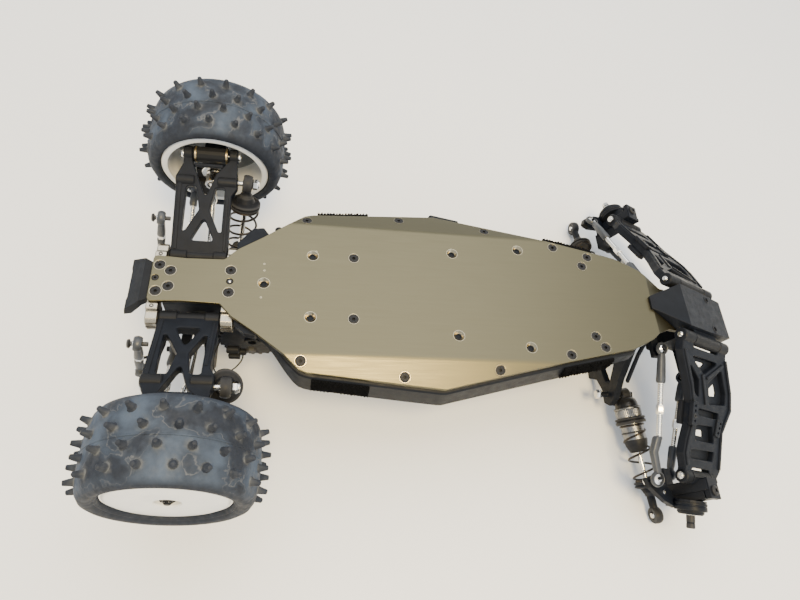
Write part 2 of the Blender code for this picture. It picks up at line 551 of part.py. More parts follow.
# ---- rear suspension ------------------------------------------------------------------
def rear_corner(label, side):
    droop = REAR_DROOP
    out = Vector((0, side * math.cos(droop), math.sin(droop)))
    axes = frame((1, 0, 0), out)
    pin = (REAR_PIN[0], side * REAR_PIN[1], REAR_PIN[2])
    outer_pin = Vector(pin) + out * REAR_ARM

    # arm: along the pin, outward, and towards the underside
    outline = [(-15.4, -2.0), (-15.4, 47.0), (-12.2, 54.0), (-12.2, 64.0), (-7.4, 64.0), (-7.4, 54.0),
               (1.0, 54.0), (13.0, 54.0), (13.0, 64.0), (17.6, 64.0), (17.6, 51.0), (18.4, 47.6),
               (18.4, 40.8), (15.4, 36.0), (15.4, -2.0)]
    windows = [
        [(-10.6, 14.5), (-8.8, 14.5), (-1.9, 27.0), (-4.2, 40.6), (-9.6, 40.6)],
        [(11.2, 14.5), (9.4, 14.5), (3.9, 27.0), (6.4, 40.6), (11.6, 40.6)],
        [(-5.6, 9.0), (7.4, 9.0), (1.2, 22.5)],
        [(-7.4, 66.0), (13.0, 66.0), (13.0, 57.0), (6.4, 49.0), (1.2, 34.0), (-4.4, 48.0), (-7.4, 56.0)]]
    adds = [rod((-15.4, 0, 0), (15.4, 0, 0), 4.1, 14),
            rod((-15.6, 44.2, 0.6), (-5.2, 44.2, 0.6), 3.5, 12),
            rod((7.4, 44.2, 0.6), (18.5, 44.2, 0.6), 3.5, 12),
            rod((-12.2, REAR_ARM, 0), (-7.4, REAR_ARM, 0), 4.3, 14),
            rod((13.0, REAR_ARM, 0), (17.6, REAR_ARM, 0), 4.3, 14)]
    cuts = [prism(w, -8, 8) for w in windows]
    cuts += [rod((-20, 0, 0), (20, 0, 0), 1.7, 6), rod((-20, REAR_ARM, 0), (22, REAR_ARM, 0), 1.7, 6)]
    put("rear_arm_" + label, solid(prism(outline, -2.8, 2.8), adds=adds, cuts=cuts),
        "composite", pin, axes, side)

    # hub carrier: origin on the outer pin, level axes
    spin = Vector((0, side * math.cos(CAMBER), math.sin(CAMBER)))
    centre = Vector((WHEEL[0], side * WHEEL[1], WHEEL[2]))
    hub_at = Vector((WHEEL[0], outer_pin.y, outer_pin.z))
    rel = Vector((0, side * (centre.y - hub_at.y), centre.z - hub_at.z))
    axis = Vector((0, math.cos(CAMBER), math.sin(CAMBER)))
    low = rel - axis * 20.0
    high = rel - axis * 6.5
    adds = [rod(low, high, 8.4, 16), block(-5.0, 7.0, 1.2, 10.0, -13.0, -1.0),
            block(-10.8, -5.0, 1.2, 6.0, -25.0, -15.0),
            block(-10.8, -5.0, -1.6, 5.0, -35.2, -22.9), rod((-9.0, 0.2, -32.0), (-17.0, 0.2, -32.0), 1.6, 8)]
    cuts = [rod(rel - axis * 25, rel, 3.1, 12), rod((-20, 0, 0), (20, 0, 0), 1.7, 6)]
    hub = solid(rod((-9.9, 0, 0), (9.2, 0, 0), 4.5, 14), adds=adds, cuts=cuts)
    level = frame((1, 0, 0), (0, side, 0))
    put("rear_hub_carrier_" + label, hub, "composite", hub_at, level, side)

    # wheel: drawn about z with +z outboard
    ex = Vector((1, 0, 0))
    turn = Matrix((ex, spin.cross(ex), spin)).transposed()
    rim = [(3.0, 3.4), (7.4, 3.4), (7.4, 15.8), (26.4, 15.2), (26.4, -18.6), (RIM_R, -18.6),
           (RIM_R, -17.0), (28.2, -16.4), (28.2, 16.4), (RIM_R, 17.0), (RIM_R, 18.8), (29.4, 18.8),
           (28.6, 17.6), (6.8, 19.2), (6.8, 11.0), (3.0, 11.0)]
    put("rear_rim_" + label, mesh_from(lathe(rim, 26)), "rim_white", centre, turn)
    axle = [(0, -24.5), (3.8, -24.5), (3.8, -29.0), (5.2, -29.0), (5.2, -21.6), (2.4, -21.2), (2.4, -2.0),
            (6.6, -2.0), (6.6, 3.0), (2.4, 3.1), (2.4, 11.4), (4.0, 11.4), (4.0, 15.4), (1.9, 15.6),
            (1.9, 18.4), (0, 18.4)]
    put("rear_axle_" + label, mesh_from(lathe(axle, 12)), "steel", centre, turn)
    put("rear_tyre_" + label, tyre(), "rubber", centre, turn)

    # driveshaft with a ball at each end
    inner = Vector((-16.2, side * 16.8, -22.0))
    outer = centre - spin * 27.8
    span = outer - inner
    ey = span.normalized()
    shaft_axes = Matrix((ex, ey, ex.cross(ey))).transposed()
    shaft = solid(rod((0, 0, 0), (0, span.length, 0), 1.9, 12),
                  adds=[ball((0, 0, 0), 3.2), ball((0, span.length, 0), 2.9)])
    put("driveshaft_" + label, shaft, "steel", inner, shaft_axes)
    between("rear_camber_link_" + label, (-30.0, side * 27.0, -33.0), (-30.0, side * 76.5, -20.0),
            1.5, 13.0, "steel")
    between("drop_link_" + label, (-41.0, side * 38.6, -0.4), (-47.0, side * 38.6, -36.0), 1.5, 14.0,
            "link_grey")
    shock("rear_shock_" + label, side, REAR_SHOCK_TOP, REAR_SHOCK_LOW, 36.0, 31.0, 64.5, 6.0)


def tyre():
    """Carcass turned about z, with rows of tapered pins raised from its tread."""
    half = [(28.7, 15.9), (31.2, 16.0), (31.6, 19.8), (34.5, TYRE_HALF)]
    crown = [(38.6, 16.6), (39.8, 8.0)]
    outer = half + crown + [(TYRE_R, 0.0)]
    outer += [(r, -z) for r, z in reversed(crown)] + [(r, -z) for r, z in reversed(half)]
    bm = lathe(outer + [(37.0, -14.6), (37.0, 14.6)], PIN_SLOTS)
    bm.faces.ensure_lookup_table()
    chosen = []
    for face in bm.faces:
        mid = face.calc_center_median()
        radius = math.hypot(mid.x, mid.y)
        slot = round(math.atan2(mid.y, mid.x) * PIN_SLOTS / (2 * math.pi) - 0.5)
        row = 0 if 3.0 < abs(mid.z) < 7.0 else 1 if 9.0 < abs(mid.z) < 14.0 else None
        if radius > 38.2 and row is not None and face.normal.dot(Vector((mid.x, mid.y, 0))) > 0:
            lean = 0 if mid.z > 0 else 1
            if (slot + row + lean) % 2 == 0:
                chosen.append(face)
    bmesh.ops.inset_individual(bm, faces=chosen, thickness=2.2, use_even_offset=True)
    raised = bmesh.ops.extrude_discrete_faces(bm, faces=chosen)["faces"]
    for face in raised:
        mid = face.calc_center_median()
        up = Vector((mid.x, mid.y, 0)).normalized()
        for vert in face.verts:
            vert.co = mid + (vert.co - mid) * 0.55 + up * PIN_HEIGHT
    bmesh.ops.recalc_face_normals(bm, faces=bm.faces)
    return mesh_from(bm)


# ---- front suspension -----------------------------------------------------------------
def front_corner(label, side):
    bump = FRONT_BUMP[side]
    along = Vector((math.cos(KICK), 0, -math.sin(KICK)))
    normal = Vector((math.sin(KICK), 0, math.cos(KICK)))
    level = Vector((0, side, 0))
    out = level * math.cos(bump) - normal * math.sin(bump)
    axes = frame(along, out)
    pin = Vector((FRONT_PIN[0], side * FRONT_PIN[1], FRONT_PIN[2]))
    outline = [(-3.4, -2.4), (-3.2, 9.0), (8.0, 29.0), (12.0, 39.0), (12.5, 51.0), (10.0, 61.0),
               (9.0, 69.0), (12.6, 77.0), (12.6, 85.5), (19.2, 85.5), (19.2, 76.5), (38.0, 76.5),
               (38.0, 85.5), (44.0, 85.5), (50.0, 76.0), (48.5, 53.0), (56.0, 38.0), (54.0, 26.0),
               (44.0, 6.0), (44.0, -2.4), (34.4, -2.4), (34.4, 5.4), (7.6, 5.4), (7.6, -2.4)]
    windows = [[(6.0, 10.5), (36.5, 10.5), (22.0, 20.0)],
               [(4.5, 14.5), (17.5, 24.0), (19.0, 35.0), (14.0, 32.0)],
               [(40.5, 14.0), (48.0, 28.0), (48.5, 35.0), (30.0, 37.0), (27.0, 25.0)],
               [(20.0, 41.0), (42.0, 41.0), (42.0, 45.0), (20.0, 45.0)],
               [(19.0, 51.0), (37.0, 50.0), (40.0, 60.0), (19.0, 60.0)],
               [(16.0, 66.0), (41.0, 65.0), (40.0, 71.0), (16.0, 71.0)]]
    adds = [rod((-3.4, 0, 0), (7.6, 0, 0), 4.2, 14), rod((34.4, 0, 0), (44.0, 0, 0), 4.2, 14),
            rod((12.6, FRONT_ARM, 0), (19.2, FRONT_ARM, 0), 4.3, 14),
            rod((38.0, FRONT_ARM, 0), (44.0, FRONT_ARM, 0), 4.3, 14),
            block(9.0, 15.0, 38.0, 51.0, -6.0, 5.0)]
    cuts = [prism(w, -9, 9) for w in windows]
    cuts += [rod((-10, 0, 0), (60, 0, 0), 1.7, 6), rod((0, FRONT_ARM, 0), (50, FRONT_ARM, 0), 1.7, 6)]
    arm = solid(prism(outline, -3.2, 3.2), adds=adds, cuts=cuts)
    put("front_arm_" + label, arm, "composite", pin, axes, side)

    # caster block, origin on the outer pin, axes along the pin and level outward
    mid = pin + out * FRONT_ARM + along * 28.6
    block_axes = frame(along, level)
    king = 9.0
    drop = 6.5
    adds = [block(-4.6, 7.0, 1.5, 4.2, -21.5, 8.6), block(-4.6, 6.0, 3.0, king + 4.5, 5.4, 8.6),
            block(-4.6, 6.0, 3.0, king + 4.5, -21.5, -18.3), block(-4.0, 3.6, -9.0, 3.0, -23.5, -17.7),
            rod((2.0, -6.4, -20.6), (9.2, -6.4, -20.6), 1.3, 8)]
    cuts = [rod((-20, 0, 0), (20, 0, 0), 1.7, 6)]
    mesh = solid(rod((-9.0, 0, 0), (9.0, 0, 0), 4.3, 14), adds=adds, cuts=cuts)
    put("front_caster_block_" + label, mesh, "composite", mid, block_axes, side)

    # knuckle, origin on the kingpin
    king_at = mid + level * king - normal * drop
    lever_out = level * math.cos(LEVER_TURN) - along * math.sin(LEVER_TURN)
    lever_along = along * math.cos(LEVER_TURN) + level * math.sin(LEVER_TURN)
    axle = [rod((0, 3, 0), (0, 9.0, 0), 9.0, 18), rod((0, 8, 0), (0, 11.0, 0), 6.4, 14),
            rod((0, 10, 0), (0, 19.0, 0), 2.4, 10)]
    for piece in axle:
        piece.transform(Matrix.Rotation(-AXLE_DIP, 4, "X"))
    lever = [prism([(-2.0, -1.4), (-7.0, -1.0), (-14.0, -2.6), (-26.0, -1.2), (-30.4, 2.5), (-26.0, 6.4),
                    (-12.0, 8.6), (-2.0, 7.5)], -11.2, -8.2),
             rod((-27.0, 2.5, -9.0), (-27.0, 2.5, -0.4), 1.0, 8)]
    for piece in lever:
        piece.transform(Matrix.Rotation(LEVER_TURN, 4, "Z"))
    adds = [block(-4.5, 4.5, -1.0, 4.2, -11.2, 11.2), *axle, *lever]
    knuckle = solid(rod((0, 0, -11.4), (0, 0, 11.4), 4.0, 12), adds=adds)
    put("front_knuckle_" + label, knuckle, "composite", king_at, block_axes, side)

    # links
    camber_out = mid + along * 6.6 - level * 6.4 - normal * 20.6
    camber_in = Vector(kicked(52.6, side * 31.0, -21.5))
    between("front_camber_link_" + label, camber_in, camber_out, 1.6, 15.0, "link_grey", along)
    tie_out = king_at - lever_along * 27.0 + lever_out * 2.5 - normal * 3.6 + along * 0.9
    tie_in = Vector((RACK[0] + 1.0, side * 23.4, RACK[2] + 6.2))
    between("tie_rod_" + label, tie_in, tie_out, 1.6, 17.0, "link_grey", normal + Vector((0, 0, 1)), (3.0, 3.6), 1.6)
    low = FRONT_SHOCK_LOW[side]
    reach = (Vector((low[0], low[1], low[2])) - Vector(FRONT_SHOCK_TOP)).length
    shock("front_shock_" + label, side, FRONT_SHOCK_TOP, low, 38.0, reach - 46.0, reach - 21.0, 4.5)


# ---- assembly -------------------------------------------------------------------------
for old in list(bpy.data.objects):
    bpy.data.objects.remove(old, do_unlink=True)
MATS = {key: material(key, *value) for key, value in PALETTE.items()}

chassis_plate()
side_guard(-1, "side_guard_left")
side_guard(1, "side_guard_right")
nose_bulkhead()
front_block()
front_tower()
rear_tower()
arm_block("rear_arm_block", -41.2, -35.2)
arm_block("centre_arm_block", -3.2, 3.2)
gearbox()
rear_bumper()
drive_train()
electronics()
anti_roll_bar()
steering()
for text, sign in SIDES:
    rear_corner(text, sign)
    front_corner(text, sign)
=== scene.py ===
"""Looks of the radio-control buggy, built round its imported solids.

Working coordinates are millimetres from the centre arm block on the plate's underside,
x to the nose, y to the car's right, z out of the underside. place() turns them into the
row frame in metres.
"""
import math
import random

import bmesh
import bpy
from mathutils import Matrix, Vector


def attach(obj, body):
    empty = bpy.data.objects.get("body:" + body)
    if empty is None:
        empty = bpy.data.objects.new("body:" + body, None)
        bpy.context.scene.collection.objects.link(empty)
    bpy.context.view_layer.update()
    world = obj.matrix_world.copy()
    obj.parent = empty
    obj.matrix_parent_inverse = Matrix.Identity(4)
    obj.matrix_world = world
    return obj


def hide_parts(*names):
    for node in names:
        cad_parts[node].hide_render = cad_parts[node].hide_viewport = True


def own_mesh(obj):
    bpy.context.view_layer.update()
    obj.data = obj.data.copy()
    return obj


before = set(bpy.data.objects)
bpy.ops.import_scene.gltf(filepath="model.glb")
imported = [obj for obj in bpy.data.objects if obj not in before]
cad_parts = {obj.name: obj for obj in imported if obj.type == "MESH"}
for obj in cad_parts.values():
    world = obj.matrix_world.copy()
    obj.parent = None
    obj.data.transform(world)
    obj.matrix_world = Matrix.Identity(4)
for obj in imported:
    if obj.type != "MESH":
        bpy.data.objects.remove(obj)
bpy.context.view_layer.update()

MM = 0.001
SHIFT = Vector((-127.15, 1.15, 84.0))
SIDES = (("left", -1), ("right", 1))
KICK = math.radians(25.5)
BEND_X = 250.0
PI2 = 2 * math.pi
rng = random.Random(7)


# ---- frames -----------------------------------------------------------------------------
def bench(point):
    return (Vector(point) + SHIFT) * MM


def frame_axes(along, out):
    ex = Vector(along).normalized()
    ey = Vector(out)
    ey = (ey - ex * ey.dot(ex)).normalized()
    return Matrix((ex, ey, ex.cross(ey))).transposed()


def place(origin=(0, 0, 0), axes=None, side=1):
    turn = (axes or Matrix.Identity(3)).to_4x4()
    return Matrix.Translation(bench(origin)) @ turn @ Matrix.Diagonal((MM, MM, MM * side, 1.0))


def kicked(a, y, n):
    return Vector((BEND_X + a * math.cos(KICK) + n * math.sin(KICK), y,
                   -a * math.sin(KICK) + n * math.cos(KICK)))


# ---- shapes, in millimetres ----------------------------------------------------------------
def rounded(points, radius, steps=4):
    """The outline with each corner turned into a short arc."""
    pts = [Vector((p[0], p[1])) for p in points]
    out = []
    for i, here in enumerate(pts):
        before = pts[i - 1] - here
        after = pts[(i + 1) % len(pts)] - here
        angle = before.angle(after)
        if angle > math.radians(172) or angle < 0.05:
            out.append(here)
            continue
        back = min(radius / math.tan(angle / 2), before.length * 0.45, after.length * 0.45)
        start = here + before.normalized() * back
        end = here + after.normalized() * back
        for k in range(steps + 1):
            t = k / steps
            out.append(start * (1 - t) ** 2 + here * 2 * t * (1 - t) + end * t * t)
    return out


def circle(x, y, r, sides=24):
    return [(x + r * math.cos(PI2 * k / sides), y + r * math.sin(PI2 * k / sides)) for k in range(sides)]


def sheet(loops, low, high, edge=0.4, axis="z"):
    """Extruded outlines (holes included) with rounded edges."""
    curve = bpy.data.curves.new("sheet", "CURVE")
    curve.dimensions = "2D"
    curve.fill_mode = "BOTH"
    curve.extrude = (high - low) / 2 - edge
    curve.bevel_depth = edge
    curve.bevel_resolution = 1
    curve.offset = -edge
    for loop in loops:
        spline = curve.splines.new("POLY")
        spline.points.add(len(loop) - 1)
        spline.use_cyclic_u = True
        for point, xy in zip(spline.points, loop):
            point.co = (xy[0], xy[1], 0, 1)
    ob = bpy.data.objects.new("sheet", curve)
    bpy.context.scene.collection.objects.link(ob)
    mesh = bpy.data.meshes.new_from_object(ob.evaluated_get(bpy.context.evaluated_depsgraph_get()))
    bpy.data.objects.remove(ob, do_unlink=True)
    bpy.data.curves.remove(curve)
    bm = bmesh.new()
    bm.from_mesh(mesh)
    bpy.data.meshes.remove(mesh)
    bmesh.ops.remove_doubles(bm, verts=bm.verts, dist=0.002)
    turn = {"z": Matrix.Identity(4),
            "x": Matrix(((0, 0, 1, 0), (1, 0, 0, 0), (0, 1, 0, 0), (0, 0, 0, 1))),
            "y": Matrix(((1, 0, 0, 0), (0, 0, -1, 0), (0, 1, 0, 0), (0, 0, 0, 1)))}[axis]
    middle = (high + low) / 2
    bm.transform(turn @ Matrix.Translation((0, 0, -middle if axis == "y" else middle)))
    bmesh.ops.recalc_face_normals(bm, faces=bm.faces)
    return bm


def skin(bm, rings):
    """Faces between each ring of vertices and the next."""
    for first, second in zip(rings, rings[1:]):
        for k in range(len(first)):
            j = (k + 1) % len(first)
            bm.faces.new((first[k], first[j], second[j], second[k]))


def lathe(profile, sides=40):
    bm = bmesh.new()
    rings = []
    for radius, height in profile:
        if radius <= 1e-6:
            rings.append([bm.verts.new((0, 0, height))] * sides)
        else:
            rings.append([bm.verts.new((radius * math.cos(PI2 * k / sides),
                                        radius * math.sin(PI2 * k / sides), height)) for k in range(sides)])
    for first, second in zip(rings, rings[1:]):
        for k in range(sides):
            j = (k + 1) % sides
            corners = []
            for vert in (first[k], first[j], second[j], second[k]):
                if vert not in corners:
                    corners.append(vert)
            if len(corners) > 2:
                bm.faces.new(corners)
    bmesh.ops.recalc_face_normals(bm, faces=bm.faces)
    return bm


def turned(start, end, profile, sides=24):
    """A lathe whose axis runs from start towards end; heights are millimetres along it."""
    bm = lathe(profile, sides)
    axis = Vector(end) - Vector(start)
    turn = Vector((0, 0, 1)).rotation_difference(axis).to_matrix().to_4x4()
    bm.transform(Matrix.Translation(Vector(start)) @ turn)
    return bm


def rod(start, end, radius, edge=0.3, sides=20):
    length = (Vector(end) - Vector(start)).length
    edge = min(edge, radius * 0.5, length * 0.4)
    return turned(start, end, [(0, 0), (radius - edge, 0), (radius, edge), (radius, length - edge),
                               (radius - edge, length), (0, length)], sides)


def brick(x0, x1, y0, y1, z0, z1, edge=0.4):
    edge = min(edge, abs(x1 - x0) * 0.3, abs(y1 - y0) * 0.3, abs(z1 - z0) * 0.3)
    return sheet([rounded([(x0, y0), (x1, y0), (x1, y1), (x0, y1)], edge, 3)], z0, z1, edge)


def ball(centre, radius, sides=16):
    bm = bmesh.new()
    bmesh.ops.create_uvsphere(bm, u_segments=sides, v_segments=sides // 2, radius=radius)
    bm.transform(Matrix.Translation(Vector(centre)))
    return bm


def wire(points, radius, sides=8, closed=False):
    bm = bmesh.new()
    path = [Vector(p) for p in points]
    rings = []
    normal = None
    for i, here in enumerate(path):
        along = (path[min(i + 1, len(path) - 1)] - path[max(i - 1, 0)]).normalized()
        if normal is None:
            normal = along.orthogonal().normalized()
        normal = (normal - along * normal.dot(along)).normalized()
        other = along.cross(normal)
        rings.append([bm.verts.new(here + radius * (normal * math.cos(PI2 * k / sides)
                                                    + other * math.sin(PI2 * k / sides)))
                      for k in range(sides)])
    skin(bm, rings)
    bm.faces.new(rings[0])
    bm.faces.new(rings[-1])
    bmesh.ops.recalc_face_normals(bm, faces=bm.faces)
    return bm


def smooth_path(points, steps=6):
    """A rounded run through the points."""
    pts = [Vector(p) for p in points]
    pts = [pts[0] * 2 - pts[1]] + pts + [pts[-1] * 2 - pts[-2]]
    out = []
    for i in range(1, len(pts) - 2):
        a, b, c, d = pts[i - 1:i + 3]
        for k in range(steps):
            t = k / steps
            out.append(0.5 * (2 * b + (c - a) * t + (2 * a - 5 * b + 4 * c - d) * t * t
                              + (3 * b - a - 3 * c + d) * t ** 3))
    out.append(pts[-2])
    return out


def join(*parts):
    """One bmesh out of several; the others are used up."""
    base = parts[0]
    for other in parts[1:]:
        mesh = bpy.data.meshes.new("join")
        other.to_mesh(mesh)
        base.from_mesh(mesh)
        bpy.data.meshes.remove(mesh)
        other.free()
    return base


def socket_head(centre, normal, radius, height=1.4, drive=0.42, dome=0.0, deep=1.3):
    """A screw head with a hexagon socket; its top lies height above centre."""
    sides = 24
    bm = bmesh.new()
    hexagon = [drive * radius * math.cos(math.pi / 6)
               / math.cos((PI2 * k / sides) % (math.pi / 3) - math.pi / 6)
               for k in range(sides)]
    rings = [([radius * 0.96] * sides, 0.0), ([radius] * sides, height * 0.35),
             ([radius * 0.98] * sides, height - 0.25 - dome),
             ([radius * 0.86] * sides, height - 0.03 - dome * 0.4),
             ([radius * 0.62] * sides, height), (hexagon, height), (hexagon, height - deep),
             ([0.0] * sides, height - deep - 0.2)]
    loops = []
    for radii, z in rings:
        loops.append([bm.verts.new((r * math.cos(PI2 * k / sides), r * math.sin(PI2 * k / sides), z))
                      for k, r in enumerate(radii)])
    skin(bm, loops)
    bmesh.ops.remove_doubles(bm, verts=bm.verts, dist=1e-4)
    turn = Vector((0, 0, 1)).rotation_difference(Vector(normal)).to_matrix().to_4x4()
    bm.transform(Matrix.Translation(Vector(centre)) @ turn @ Matrix.Rotation(rng.uniform(0, 1), 4, "Z"))
    return bm


def hexnut(start, end, across, bore=0.0):
    """Hexagonal nut with chamfered corners."""
    length = (Vector(end) - Vector(start)).length
    r = across / math.sqrt(3)
    profile = [(max(bore, 0.0), 0), (r * 0.88, 0), (r, length * 0.16), (r, length * 0.84), (r * 0.88, length),
               (max(bore, 0.0), length)]
    bm = turned(start, end, profile, 6)
    return bm


# ---- materials --------------------------------------------------------------------------
def ramp(tree, source, stops):
    """The source passed through a colour ramp; a stop's value is a grey or a colour."""
    node = tree.nodes.new("ShaderNodeValToRGB")
    elements = node.color_ramp.elements
    while len(elements) < len(stops):
        elements.new(0.5)
    for element, (at, value) in zip(elements, stops):
        element.position = at
        element.color = (*value, 1) if isinstance(value, tuple) else (value, value, value, 1)
    tree.links.new(source, node.inputs["Fac"])
    return node.outputs["Color"]


def tinted(tree, factor, under, colour):
    """The colour laid over what is under it, by the factor."""
    node = tree.nodes.new("ShaderNodeMix")
    node.data_type = "RGBA"
    tree.links.new(factor, node.inputs["Factor"])
    tree.links.new(under, node.inputs["A"])
    node.inputs["B"].default_value = (*colour, 1)
    return node.outputs["Result"]


def node_material(name, colour, metallic=0.0, rough=(0.35, 0.5), vary=0.12, scale=220.0, stretch=(1, 1, 1),
                  bump=0.12, bump_scale=2600.0, tint=None, tint_cover=0.5, wear=None, coat=0.0, fine=None,
                  gloss=0.5):
    """Principled surface with colour drift, roughness drift and a fine bump."""
    mat = bpy.data.materials.new(name)
    mat.use_nodes = True
    tree = mat.node_tree
    nodes = tree.nodes
    links = tree.links
    shader = nodes["Principled BSDF"]
    shader.inputs["Metallic"].default_value = metallic
    shader.inputs["Coat Weight"].default_value = coat
    shader.inputs["Specular IOR Level"].default_value = gloss
    coords = nodes.new("ShaderNodeTexCoord")
    mapping = nodes.new("ShaderNodeMapping")
    mapping.inputs["Scale"].default_value = stretch
    links.new(coords.outputs["Object"], mapping.inputs["Vector"])

    def noise(amount, detail=4.0, distort=0.0, source=None):
        node = nodes.new("ShaderNodeTexNoise")
        node.inputs["Scale"].default_value = amount
        node.inputs["Detail"].default_value = detail
        node.inputs["Distortion"].default_value = distort
        links.new((source or mapping.outputs["Vector"]), node.inputs["Vector"])
        return node

    dark = tuple(c * (1 - vary) for c in colour)
    light = tuple(min(1.0, c * (1 + vary)) for c in colour)
    out = ramp(tree, noise(scale).outputs["Fac"], [(0.3, dark), (0.7, light)])
    if tint:
        cover = noise(scale * 0.25, 6.0, 0.6, coords.outputs["Object"]).outputs["Fac"]
        mask = ramp(tree, cover, [(tint_cover - 0.06, 0.0), (tint_cover + 0.16, 1.0)])
        out = tinted(tree, mask, out, tint)
    if wear:
        geometry = nodes.new("ShaderNodeNewGeometry")
        edge = ramp(tree, geometry.outputs["Pointiness"], [(0.52, 0.0), (0.60, 1.0)])
        out = tinted(tree, edge, out, wear)
    links.new(out, shader.inputs["Base Color"])
    level = ramp(tree, noise(scale * 1.7).outputs["Fac"], [(0.3, rough[0]), (0.7, rough[1])])
    links.new(level, shader.inputs["Roughness"])
    grain = nodes.new("ShaderNodeBump")
    grain.inputs["Strength"].default_value = bump
    grain.inputs["Distance"].default_value = 0.0004
    if fine == "voronoi":
        cells = nodes.new("ShaderNodeTexVoronoi")
        cells.inputs["Scale"].default_value = bump_scale
        links.new(mapping.outputs["Vector"], cells.inputs["Vector"])
        links.new(cells.outputs["Distance"], grain.inputs["Height"])
    else:
        links.new(noise(bump_scale, 2.0).outputs["Fac"], grain.inputs["Height"])
    links.new(grain.outputs["Normal"], shader.inputs["Normal"])
    return mat


def rubber_material():
    """Dark rubber with grey dusty patches, pale tide marks round them and chalk round the pins."""
    mat = node_material("tyre_rubber", (0.012, 0.016, 0.026), rough=(0.62, 0.85), vary=0.2, gloss=0.35,
                        bump=0.25, bump_scale=1500.0)
    tree = mat.node_tree
    nodes = tree.nodes
    links = tree.links
    shader = nodes["Principled BSDF"]
    base = shader.inputs["Base Color"].links[0].from_socket
    coords = nodes.new("ShaderNodeTexCoord")
    noise = nodes.new("ShaderNodeTexNoise")
    noise.inputs["Scale"].default_value = 48.0
    noise.inputs["Detail"].default_value = 5.0
    noise.inputs["Distortion"].default_value = 0.35
    links.new(coords.outputs["Object"], noise.inputs["Vector"])
    fine = nodes.new("ShaderNodeTexNoise")
    fine.inputs["Scale"].default_value = 210.0
    fine.inputs["Detail"].default_value = 6.0
    links.new(coords.outputs["Object"], fine.inputs["Vector"])
    wear = nodes.new("ShaderNodeAttribute")
    wear.attribute_name = "wear"

    def times(a, b):
        node = nodes.new("ShaderNodeMath")
        node.operation = "MULTIPLY"
        links.new(a, node.inputs[0])
        links.new(b, node.inputs[1])
        return node.outputs["Value"]

    patches = times(ramp(tree, noise.outputs["Fac"], [(0.40, 0.0), (0.66, 0.95)]), wear.outputs["Fac"])
    colour = tinted(tree, patches, base, (0.056, 0.078, 0.118))
    tide = times(ramp(tree, noise.outputs["Fac"], [(0.465, 0.0), (0.476, 0.8), (0.487, 0.0)]),
                 wear.outputs["Fac"])
    tide = times(tide, ramp(tree, fine.outputs["Fac"], [(0.38, 0.1), (0.62, 0.9)]))
    colour = tinted(tree, tide, colour, (0.115, 0.12, 0.13))
    chalk = nodes.new("ShaderNodeAttribute")
    chalk.attribute_name = "chalk"
    marks = times(chalk.outputs["Fac"], ramp(tree, fine.outputs["Fac"], [(0.42, 0.0), (0.6, 1.0)]))
    colour = tinted(tree, marks, colour, (0.10, 0.105, 0.11))
    links.new(colour, shader.inputs["Base Color"])
    return mat


MATS = {
    "plate": node_material("plate_anodised", (0.122, 0.110, 0.068), 0.92, (0.34, 0.42), 0.018, 300.0,
                           (0.10, 3.2, 3.2),
                           bump=0.03, bump_scale=900.0),
    "seat": node_material("cut_alloy", (0.34, 0.30, 0.21), 1.0, (0.22, 0.34), 0.10, 900.0, bump=0.04),
    "champagne": node_material("champagne_alloy", (0.40, 0.36, 0.285), 1.0, (0.22, 0.36), 0.06, 500.0,
                               (3, 0.3, 3),
                               bump=0.06, bump_scale=1500.0),
    "black": node_material("black_composite", (0.0068, 0.0088, 0.0140), 0.0, (0.36, 0.52), 0.18, 160.0,
                           gloss=0.11,
                           bump=0.14, bump_scale=3200.0, wear=(0.013, 0.0135, 0.015)),
    "grey": node_material("grey_composite", (0.034, 0.038, 0.046), 0.0, (0.36, 0.5), 0.1, 240.0, bump=0.12,
                          tint=(0.048, 0.053, 0.062), tint_cover=0.55),
    "steel": node_material("bright_steel", (0.74, 0.72, 0.68), 1.0, (0.12, 0.26), 0.06, 700.0, bump=0.05,
                           tint=(0.5, 0.47, 0.42), tint_cover=0.6),
    "screw": node_material("black_screw", (0.011, 0.0118, 0.0145), 0.0, (0.40, 0.52), 0.15, 900.0, bump=0.08,
                           wear=(0.05, 0.05, 0.052), gloss=0.12),
    "dark": node_material("dark_metal", (0.012, 0.0122, 0.0135), 0.15, (0.28, 0.42), 0.12, 400.0, bump=0.08,
                          wear=(0.04, 0.04, 0.041), gloss=0.45),
    "spring": node_material("spring_wire", (0.045, 0.038, 0.032), 0.8, (0.28, 0.4), 0.15, 600.0, bump=0.06),
    "shock": node_material("hard_anodised", (0.215, 0.215, 0.215), 0.9, (0.26, 0.40), 0.08, 500.0, bump=0.08,
                           tint=(0.30, 0.30, 0.295), tint_cover=0.58),
    "shaft": node_material("shaft_steel", (0.66, 0.64, 0.6), 1.0, (0.1, 0.2), 0.05, 500.0, bump=0.03),
    "gold": node_material("gold_ring", (0.52, 0.40, 0.22), 1.0, (0.2, 0.35), 0.1, 500.0, bump=0.06),
    "rim": node_material("white_nylon", (0.80, 0.80, 0.78), 0.0, (0.28, 0.42), 0.03, 120.0, bump=0.05,
                         tint=(0.66, 0.66, 0.645), tint_cover=0.62),
    # mid-grey that paints the shade inside the white rim's dish; its patches are random tone
    "shaded_dish": node_material("dish_painted_shade", (0.36, 0.37, 0.365), 0.0, (0.25, 0.4), 0.06, 90.0, bump=0.05,
                          tint=(0.46, 0.465, 0.455), tint_cover=0.5),
    "hook": node_material("hook_tape", (0.0040, 0.0042, 0.0050), 0.0, (0.8, 0.95), 0.5, 1400.0, bump=1.0,
                          gloss=0.08,
                          bump_scale=1300.0, fine="voronoi"),
    "case": node_material("battery_case", (0.022, 0.05, 0.15), 0.0, (0.25, 0.4), 0.1, 120.0, bump=0.08,
                          coat=0.3),
    "copper": node_material("copper_wire", (0.55, 0.25, 0.12), 1.0, (0.25, 0.4), 0.15, 800.0, bump=0.1),
    "tyre": rubber_material(),
}


